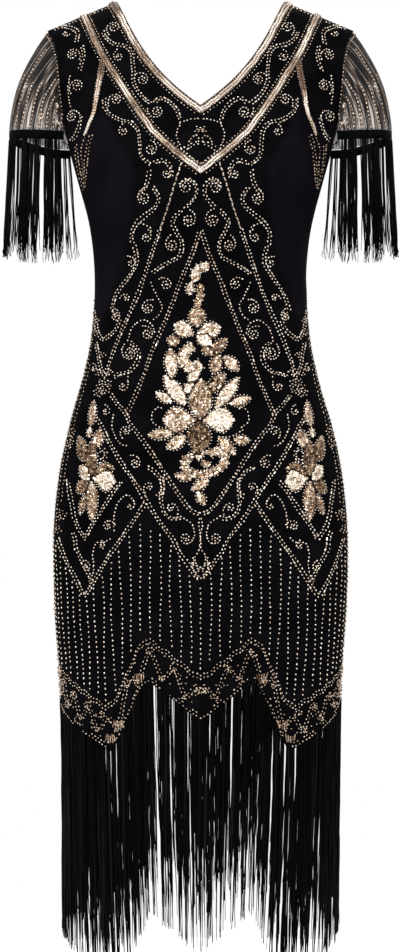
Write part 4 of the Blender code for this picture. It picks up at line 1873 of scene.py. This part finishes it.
@dataclass
class Bands:
    """The beaded bands of one panel: along the neckline, across the yoke and by the armholes."""

    form: DressForm
    side: Side
    width: float = 0.0064
    wall: float = 0.0008
    lift: float = 0.0010
    cell: float = 0.0031
    neck_steps: int = 40
    neck_margin: float = 0.0026
    chance: random.Random = field(default_factory=lambda: random.Random(7))

    def neck_spots(self, inset: float) -> list[Spot]:
        """A line set in from the neckline, from the shoulder to the centre, as it is seen."""
        depth = self.form.neck_depth(self.side) + self.form.neck_mitre * inset
        spots = []
        for i in range(self.neck_steps + 1):
            height = -depth * (1 - (1 - i / self.neck_steps) ** 0.8)
            x = max(self.form.neck_x(height, self.side, inset), 0.0)
            point = self.form.bare(x, min(height, -0.0004), self.side)
            spots.append((point.x, point.z))
        return spots

    def routes(self) -> dict[str, tuple[list[Spot], bool]]:
        """Each band's centre line on the left half, and whether it meets the centre line."""
        neck = self.neck_spots(self.neck_margin + self.width / 2)
        yoke = [self.seen(spot) for spot in smooth_line(YOKE_LINE[::-1], 7)]
        arm = [self.seen(spot) for spot in smooth_line(ARMHOLE_BAND_LINE, 6)]
        return {"neck": (neck, True), "yoke": (yoke, True), "armhole": (arm, False)}

    def seen(self, spot: Spot) -> Spot:
        """A place of the table, by its height on the form, as it is seen."""
        point = self.form.bare(spot[0], min(spot[1], -0.0004), self.side)
        return point.x, point.z

    @staticmethod
    def fullness(name: str, height: float) -> float:
        """How much of its width a band has at a height: the armholes' ones run out to a thread."""
        if name != "armhole":
            return 1.0
        return 1.0 - 0.58 * clamped((-height - 0.098) / 0.055)

    @staticmethod
    def shade(name: str, height: float) -> float:
        """How much duller a band is at a height: by the shoulder and at the armholes' tops."""
        if name == "neck":
            return 0.30 * clamped((height + 0.020) / 0.006)
        if name == "armhole":
            return 0.26 * clamped((height + 0.122) / 0.012)
        return 0.0

    def ribbon(self, name: str, route: Sequence[Spot], hand: Hand, meets: bool) -> bpy.types.Mesh:
        """The ribbon under one band.

        Args:
            name: Which band.
            route: Its centre line.
            hand: Which half it is on.
            meets: Whether its lower end is cut off square on the centre line.

        Returns:
            The open sheet.
        """
        def place(column: int, row: int) -> Vector:
            """A vertex's point, on the cloth."""
            before, after = route[max(column - 1, 0)], route[min(column + 1, len(route) - 1)]
            ahead = Vector((after[0] - before[0], after[1] - before[1])).normalized()
            offset = self.width * self.fullness(name, route[column][1]) * (row / 2 - 0.5)
            x, z = route[column][0] - ahead.y * offset, route[column][1] + ahead.x * offset
            if meets and column == len(route) - 1:
                z = route[column][1] + offset / max(abs(ahead.x), 0.3) * (1 if ahead.x > 0 else -1)
                x = 0.0
            return self.form.at(hand.value * max(x, 0.0), min(z, 0.0), self.side, self.lift)[0]

        flip = (self.side is Side.FRONT) != (hand is Hand.RIGHT)
        return cloth_mesh(name, len(route) - 1, 2, place, not flip)

    def stitch(self, work: Beadwork, name: str, route: Sequence[Spot], hand: Hand) -> None:
        """Cover a band with two rows of short bugles and edge it with beads.

        Args:
            work: The panel's beadwork.
            name: Which band.
            route: Its centre line on the left half.
            hand: Which half it is on.
        """
        spots = [(hand.value * x, z) for x, z in route]
        neckline = -hand.value if name == "neck" else 0
        for row, shift in ((-0.0014, 0.2), (0.0014, 0.5)):
            for spot, ahead in work.spaced(spots, self.cell, self.cell * shift):
                step = 0.0006 * round(2.4 * noise.noise(Vector((spot[0] * 90, spot[1] * 90, 5.0))))
                offset = row * self.fullness(name, spot[1]) + step
                patch = noise.noise(Vector((spot[0] * 34, spot[1] * 34, 1.5)))
                tone = 0.74 + 1.1 * clamped(patch, -0.42, 0.22) - self.shade(name, spot[1])
                tone += self.chance.uniform(-0.20, 0.12)
                place = beside(spot, ahead, offset)
                size = (self.cell * 0.86, 0.0021 * (0.6 + 0.4 * self.fullness(name, spot[1])), 0.0016)
                self.sit(work, BitKind.BUGLE, place, ahead, size, tone, self.lift + 0.0006)
        for row, tone, size in ((0.0, 0.02, 0.0012), (-0.0032, 0.45, 0.0013), (0.0032, 0.45, 0.0013)):
            for spot, ahead in work.spaced(spots, self.cell * 1.1):
                offset = row * self.fullness(name, spot[1])
                place = beside(spot, ahead, offset)
                shade = tone + self.chance.uniform(-0.5, 0.3)
                self.sit(work, BitKind.SEED, place, ahead, (size, size, size), shade, self.lift + 0.0002)
        if neckline:
            for spot, ahead in work.spaced(spots, 0.0027, 0.0, neckline * (self.width / 2 + 0.0012)):
                work.sew(BitKind.SEED, spot, ahead, (0.0019, 0.0017, 0.0017), 0.0)
        for edge in (-1, 1):
            if edge == neckline or name == "armhole":
                continue
            for spot, ahead in work.spaced(spots, 0.0046, 0.0, edge * 0.0058):
                work.seed_at(spot, ahead, 0.88, 0.62)

    def sit(self, work: Beadwork, kind: BitKind, spot: Spot, ahead: Spot, size: Size,
            tone: float, lift: float) -> None:
        """Put one small thing on top of the ribbon.

        Args:
            work: The panel's beadwork.
            kind: What it is.
            spot: Where, in metres.
            ahead: Which way it lies.
            size: Its length, width and thickness.
            tone: How pale it is.
            lift: How far up it is moved.
        """
        work.sew(kind, spot, ahead, size, tone)
        bit = work.bits[kind][-1]
        work.bits[kind][-1] = bit._replace(place=bit.place + bit.out * lift)

    def build(self, finishes: Finishes, work: Beadwork) -> bpy.types.Object:
        """Make the ribbons as one piece and give their beads to the panel's beadwork.

        Args:
            finishes: The materials.
            work: The panel's beadwork.

        Returns:
            The ribbons.
        """
        meshes = []
        for name, (route, meets) in self.routes().items():
            for hand in Hand:
                meshes.append(self.ribbon(name, route, hand, meets))
                self.stitch(work, name, route, hand)
        name = f"{self.side.word}_bands"
        piece = put_in_scene(name, joined(name, meshes, merge=0.00002), finishes.band)
        thicken(piece, self.wall)
        word = self.side.word
        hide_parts(f"neck_trim_{word}", f"yoke_trim_{word}", f"armhole_trim_{word}_left",
                    f"armhole_trim_{word}_right")
        return piece


# ----- Fringe -----


@dataclass
class HemFringe:
    """The long fringe under one panel's zigzag hem."""

    form: DressForm
    side: Side
    front_length: float = 0.260
    back_length: float = 0.250
    tuft: float = 0.016
    radius: float = 0.00066
    strands: int = 880
    long_share: tuple[Spot, ...] = (
        (0.0, 0.42), (0.30, 0.42), (0.40, 0.54), (0.90, 0.56), (0.95, 0.98), (1.0, 1.0))
    short_part: tuple[float, float] = (0.70, 0.86)
    points: int = 14
    gaps: tuple[float, ...] = (
        0.0105, 0.014, 0.031, 0.035, 0.047, 0.052, 0.060, 0.080, 0.0925, 0.0985, 0.104, 0.126)
    gap_half: float = 0.0010

    def in_gap(self, part: float) -> bool:
        """Whether a place of the hem lies in one of the narrow gaps, which line up from front to back."""
        across = self.form.round_point(abs(part), self.form.hem_height(abs(part), self.side), self.side).x
        spread = 1.0 if self.side is Side.FRONT else 1.08
        return any(abs(across - gap * spread) < self.gap_half for gap in self.gaps)

    def path(self, part: float, chance: random.Random) -> list[Vector]:
        """One strand, which hangs from the hem with its tuft, in a slight wave, to an uneven end.

        Args:
            part: Its part of the quarter turn, with the sign of its half.
            chance: What makes it uneven.

        Returns:
            Its points, from the hem down.
        """
        reach = self.front_length if self.side is Side.FRONT else self.back_length
        length = reach * (1 - abs(chance.gauss(0.0, 0.020)))
        if chance.random() > read(self.long_share, abs(part), 1):
            length *= chance.uniform(*self.short_part)
        elif chance.random() < 0.3:
            length *= chance.uniform(0.87, 0.98)
        if self.side is Side.BACK:
            length += 0.016 * max(1 - abs(part) / 0.285, 0.0)
        top = self.form.hem_height(abs(part), self.side) + 0.001
        clump = 0.0022 * noise.noise(Vector((part * 26, 4.0, 0.0)))
        centre = (math.floor(abs(part) / self.tuft) + 0.5) * self.tuft
        phase, depth = chance.uniform(0, WHOLE_TURN), chance.uniform(-0.5, 0.9) * MM
        points = []
        for i in range(self.points):
            t = i / (self.points - 1)
            height = top - length * t
            sway = (clump + 0.0012 * math.sin(phase + 5 * t)) * t + chance.gauss(0.0, 0.00020)
            where = abs(part) + (centre - abs(part)) * 0.40 * t * t
            where -= 0.030 * math.sin(math.pi * abs(part)) * t ** 1.5
            point = self.form.round_point(clamped(where), height, self.side)
            point.x = math.copysign(point.x, part) + sway
            out = Vector((point.x * 0.5, point.y, 0.0)).normalized()
            points.append(point + out * (self.form.cloth * 0.6 + depth + 0.001 * math.sin(phase + 3 * t)))
        return points

    def build(self, finishes: Finishes) -> bpy.types.Object:
        """Make the fringe.

        Args:
            finishes: The materials.

        Returns:
            The piece.
        """
        chance = random.Random(41 + self.side.value)
        paths, tones = [], []
        while len(paths) < self.strands:
            part = chance.uniform(-0.998, 0.998)
            if self.in_gap(part) and chance.random() < 0.9:
                continue
            if chance.random() < 0.06 * (0.5 + noise.noise(Vector((part * 40, 1.0, 0.0)))):
                continue
            paths.append(self.path(part, chance))
            tones.append(chance.random() ** 2)
        name = f"{self.side.word}_fringe"
        piece = put_in_scene(name, strand_mesh(name, paths, self.radius, tones), finishes.strand)
        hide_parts(f"hem_fringe_{self.side.word}")
        return piece


# ----- Sleeves -----


@dataclass
class CapSleeve:
    """A cap sleeve of sheer net with beads, a tape and a fringe."""

    form: DressForm
    hand: Hand
    gap: float = 0.0004
    fullness: float = 0.40
    wall: float = 0.0006
    columns: int = 120
    rows: int = 26
    tape: float = 0.010
    fringe_end: float = -0.291
    flare: float = 0.008
    strand_radius: float = 0.0006
    strands: int = 236
    chance: random.Random = field(default_factory=lambda: random.Random(5))
    armhole: list[Vector] = field(init=False)
    lengths: list[float] = field(init=False)

    def __post_init__(self) -> None:
        """Read the armhole once."""
        self.armhole = self.armhole_line()
        self.lengths = running(self.armhole)

    def armhole_line(self) -> list[Vector]:
        """The armhole's edge from the front notch over the shoulder to the back."""
        points = []
        steps = 36
        for side in Side:
            heights = [-self.form.neck_depth(side) * (1 - i / steps) ** 1.5 for i in range(steps + 1)]
            run = [self.form.bare(read(ARMHOLE, height, 1), height, side) for height in heights]
            points += run if side is Side.FRONT else run[-2::-1]
        return points

    def top(self, place: float) -> Vector:
        """Point of the armhole a part of the way round, on the left."""
        return part_along(self.armhole, self.lengths, place) + Vector((self.gap, 0.0, 0.0))

    def edge(self, place: float) -> Vector:
        """Point of the lower edge, on the left."""
        return Vector((read(SLEEVE_EDGE, place, 1), read(SLEEVE_EDGE, place, 2), read(SLEEVE_EDGE, place, 3)))

    def point(self, place: float, down: float, lift: float = 0.0) -> Vector:
        """Point of the net: place round the armhole, down from it, and out from the net.

        Args:
            place: The part of the way round.
            down: The part of the way down.
            lift: How far out from the net.

        Returns:
            The point.
        """
        top, end = self.top(place), self.edge(place)
        turn = Vector((end.x - 0.1 * (end.x - top.x), end.y, top.z + self.fullness * (end.z - top.z)))
        spot = top * (1 - down) ** 2 + turn * 2 * down * (1 - down) + end * down * down
        outwards = Vector((spot.x - SLEEVE_EDGE[0].x + 0.02, spot.y * 1.2, 0.03 * (1 - down))).normalized()
        fold = math.sin(place * 96 + 2.2 * noise.noise(Vector((place * 9, down * 2, 2.0))))
        fold += 0.6 * noise.noise(Vector((place * 60, down * 3, 7.0)))
        spot += outwards * (fold * 0.0013 * min(down * 1.6, 1.0) - 0.0012 * min(down * 4, 1.0) + lift)
        spot.x *= self.hand.value
        return spot

    def net(self, finishes: Finishes) -> bpy.types.Object:
        """The net itself."""
        def place(column: int, row: int) -> Vector:
            """A vertex's point on the net."""
            return self.point(column / self.columns, 1 - row / self.rows)

        def spread(column: int, row: int) -> Spot:
            """A vertex's place on the flat net."""
            return column / self.columns * 0.30, (1 - row / self.rows) * 0.16

        mesh = cloth_mesh("net", self.columns, self.rows, place, self.hand is Hand.RIGHT, spread=spread)
        piece = put_in_scene(f"{self.hand.word}_sleeve_net", mesh, finishes.net)
        thicken(piece, self.wall, outwards=False)
        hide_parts(f"sleeve_{self.hand.word}")
        return piece

    def tape_piece(self, finishes: Finishes) -> bpy.types.Object:
        """The black tape along the lower edge."""
        def place(column: int, row: int) -> Vector:
            """A vertex's point on the tape."""
            point = self.edge(column / self.columns)
            point.x *= self.hand.value
            return point + Vector((0.0, 0.0, -0.0005 - self.tape * (1 - row / 2)))

        mesh = cloth_mesh("tape", self.columns, 2, place, self.hand is Hand.RIGHT)
        piece = put_in_scene(f"{self.hand.word}_sleeve_tape", mesh, finishes.tape)
        thicken(piece, 0.0014, outwards=False)
        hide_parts(f"sleeve_tape_{self.hand.word}")
        return piece

    def beads(self, finishes: Finishes) -> bpy.types.Object:
        """Rows of beads down the net, and clusters by the armhole."""
        bits = []

        def sew(place: float, down: float, size: float, tone: float) -> None:
            """Sew one bead on the net."""
            here = self.point(place, down, 0.0006)
            along = self.point(place, min(down + 0.02, 1.0), 0.0006) - self.point(place, down - 0.02, 0.0006)
            out = Vector((here.x - self.hand.value * SLEEVE_EDGE[0].x, here.y, 0.02)).normalized()
            bits.append(Bit(here, along.normalized(), out, (size * 1.1, size, size), tone))

        rows = 17
        for row in range(rows):
            place = (row + 0.5) / rows
            down = self.chance.uniform(0.18, 0.5) if row % 3 else 0.12
            length = (self.edge(place) - self.top(place)).length
            dark = False
            while down < 0.98:
                tone = -0.1 if dark else self.chance.uniform(0.35, 0.95)
                sew(place + 0.003 * math.sin(down * 9 + row), down, self.chance.uniform(0.0017, 0.0023), tone)
                down += self.chance.uniform(0.0019, 0.0027) / length
                dark = not dark
        for step in range(56):
            sew((step + 0.5) / 56, 0.03, 0.0018, self.chance.uniform(0.1, 0.85))
        for place, down, count in ((0.10, 0.30, 9), (0.06, 0.72, 10), (0.20, 0.80, 9), (0.90, 0.32, 9),
                                   (0.94, 0.74, 10), (0.80, 0.80, 9), (0.36, 0.55, 7), (0.64, 0.55, 7)):
            for i in range(count):
                reach = math.sqrt((i + 0.5) / count)
                turn = SPREAD_TURN * i
                sew(place + 0.016 * reach * math.cos(turn), down + 0.05 * reach * math.sin(turn), 0.0019,
                    self.chance.uniform(0.45, 0.95))
        name = f"{self.hand.word}_sleeve_beads"
        return put_in_scene(name, sewn_mesh(name, BitKind.SEED, bits), finishes.bead)

    def fringe(self, finishes: Finishes) -> bpy.types.Object:
        """The fringe under the tape."""
        paths, tones = [], []
        while len(paths) < self.strands:
            place = self.chance.uniform(0.002, 0.998)
            if self.chance.random() > self.closeness(place):
                continue
            paths.append(self.strand(place))
            tones.append(self.chance.random() ** 2)
        name = f"{self.hand.word}_sleeve_fringe"
        mesh = strand_mesh(name, paths, self.strand_radius, tones)
        piece = put_in_scene(name, mesh, finishes.strand)
        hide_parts(f"sleeve_fringe_{self.hand.word}")
        return piece

    def closeness(self, place: float) -> float:
        """How close the strands hang at a place of the edge: there are a few thin spots.

        Args:
            place: The part of the way round.

        Returns:
            The share of the strands that hang there.
        """
        reach = self.edge(place).x
        for thin in ((0.152, 0.177, 0.205) if place < 0.5 else (0.158, 0.183, 0.2115)):
            if abs(reach - thin) < 0.0036:
                return 0.26
        if 0.157 < reach < 0.171:
            return 0.60
        return 1.0

    def strand(self, place: float) -> list[Vector]:
        """One strand of the sleeve's fringe, with a curly end.

        Args:
            place: The part of the way round.

        Returns:
            Its points, from the tape down.
        """
        start = self.edge(place)
        start.z -= self.tape
        outwards = Vector((start.x - SLEEVE_EDGE[0].x, start.y, 0.0)).normalized()
        length = (start.z - self.fringe_end) * (1 - abs(self.chance.gauss(0.0, 0.05)))
        phase, curl = self.chance.uniform(0, WHOLE_TURN), self.chance.uniform(0.3, 1.5) * MM
        points = []
        for i in range(13):
            t = i / 12
            drift = Vector((math.sin(phase + 6 * t), math.cos(phase * 1.7 + 5 * t), 0.0)) * (0.0012 * t)
            if t > 0.8:
                turn = phase + 30 * t
                drift += Vector((math.cos(turn), math.sin(turn), 0.0)) * (curl * (t - 0.8) * 5)
            point = start + outwards * (self.flare * t * 0.7) + drift
            point.z = start.z - length * t
            point.x -= 0.009 * t * max(abs(place - 0.5) - 0.36, 0.0) / 0.14
            point.x *= self.hand.value
            points.append(point)
        return points

    def build(self, finishes: Finishes) -> None:
        """Args:
            finishes: The materials.
        """
        net = self.net(finishes)
        others = [self.tape_piece(finishes), self.beads(finishes), self.fringe(finishes)]


# ----- Studio -----


@dataclass(frozen=True)
class Studio:
    """A pale floor, soft light and a camera level with the dress."""

    distance: float = 2.6
    view_height: float = 1.0853
    middle: float = -0.5392
    floor_height: float = -1.45

    def camera(self) -> None:
        """The camera, square to the front."""
        lens = bpy.data.cameras.new("camera")
        lens.sensor_fit = "VERTICAL"
        lens.sensor_height = 36.0
        lens.lens = 36.0 * self.distance / self.view_height
        stand = in_scene("camera", lens)
        stand.location = (-0.0006, -self.distance, self.middle)
        stand.rotation_euler = (math.pi / 2, 0.0, 0.0)
        bpy.context.scene.camera = stand

    def lamp(self, name: str, place: Vector, size: float, power: float) -> None:
        """A square soft light that faces the dress.

        Args:
            name: Its name.
            place: Where it stands.
            size: How wide it is.
            power: Its power in watts.
        """
        light = bpy.data.lights.new(name, "AREA")
        light.size = size
        light.energy = power
        lamp = in_scene(name, light)
        lamp.location = place
        lamp.rotation_euler = (Vector((0.0, 0.0, self.middle)) - place).to_track_quat("-Z", "Y").to_euler()

    def sky(self) -> None:
        """White behind the dress, and a soft grey that lights it."""
        world = bpy.data.worlds.new("studio")
        bpy.context.scene.world = world
        world.use_nodes = True
        bench = Bench(world.node_tree)
        bench.tree.nodes.clear()
        path = bench.add("ShaderNodeLightPath")
        where = bench.add("ShaderNodeTexCoord")
        up = bench.add("ShaderNodeSeparateXYZ", {0: where.outputs["Generated"]})
        glow = bench.rescaled(up.outputs["Z"], (-0.45, 0.6), (0.04, 1.1))
        seen = path.outputs["Is Camera Ray"]
        strength = bench.add("ShaderNodeMix", {"Factor": seen, "A": glow, "B": 1.0}, data_type="FLOAT")
        white = {"Color": (1.0, 1.0, 1.0, 1.0), "Strength": strength.outputs[0]}
        back = bench.add("ShaderNodeBackground", white)
        bench.add("ShaderNodeOutputWorld", {"Surface": back.outputs[0]})

    def floor(self) -> None:
        """The floor under the dress."""
        shape = bmesh.new()
        bmesh.ops.create_circle(shape, cap_ends=True, segments=64, radius=1.9,
                                matrix=Matrix.Translation((0.0, 0.0, self.floor_height)))
        mesh = kept(shape, "floor", smooth=False)
        mesh.materials.append(PlainPaper("paper", roughness=0.9).make())
        floor = in_scene("floor", mesh)

    def build(self) -> None:
        """Set everything up."""
        self.camera()
        self.lamp("key", Vector((-1.3, -2.2, 0.9)), 0.9, 60.0)
        self.lamp("fill", Vector((1.6, -2.0, 0.1)), 1.2, 22.0)
        self.lamp("rim", Vector((0.6, 2.2, 0.9)), 1.0, 30.0)
        self.sky()
        self.floor()
        bpy.context.scene.view_settings.view_transform = "Standard"


def main() -> None:
    """Build the dress in order."""
    logging.basicConfig(level=logging.INFO, format="%(message)s")
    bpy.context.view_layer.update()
    Studio().build()
    form = DressForm()
    finishes = Finishes()
    for side in Side:
        panel = Panel(form, side).build(finishes)
        work = Beadwork(form, side)
        bands = Bands(form, side).build(finishes, work)
        fringe = HemFringe(form, side).build(finishes)
        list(work.build(finishes))
    for hand in Hand:
        CapSleeve(form, hand).build(finishes)


if __name__ == "__main__":
    main()
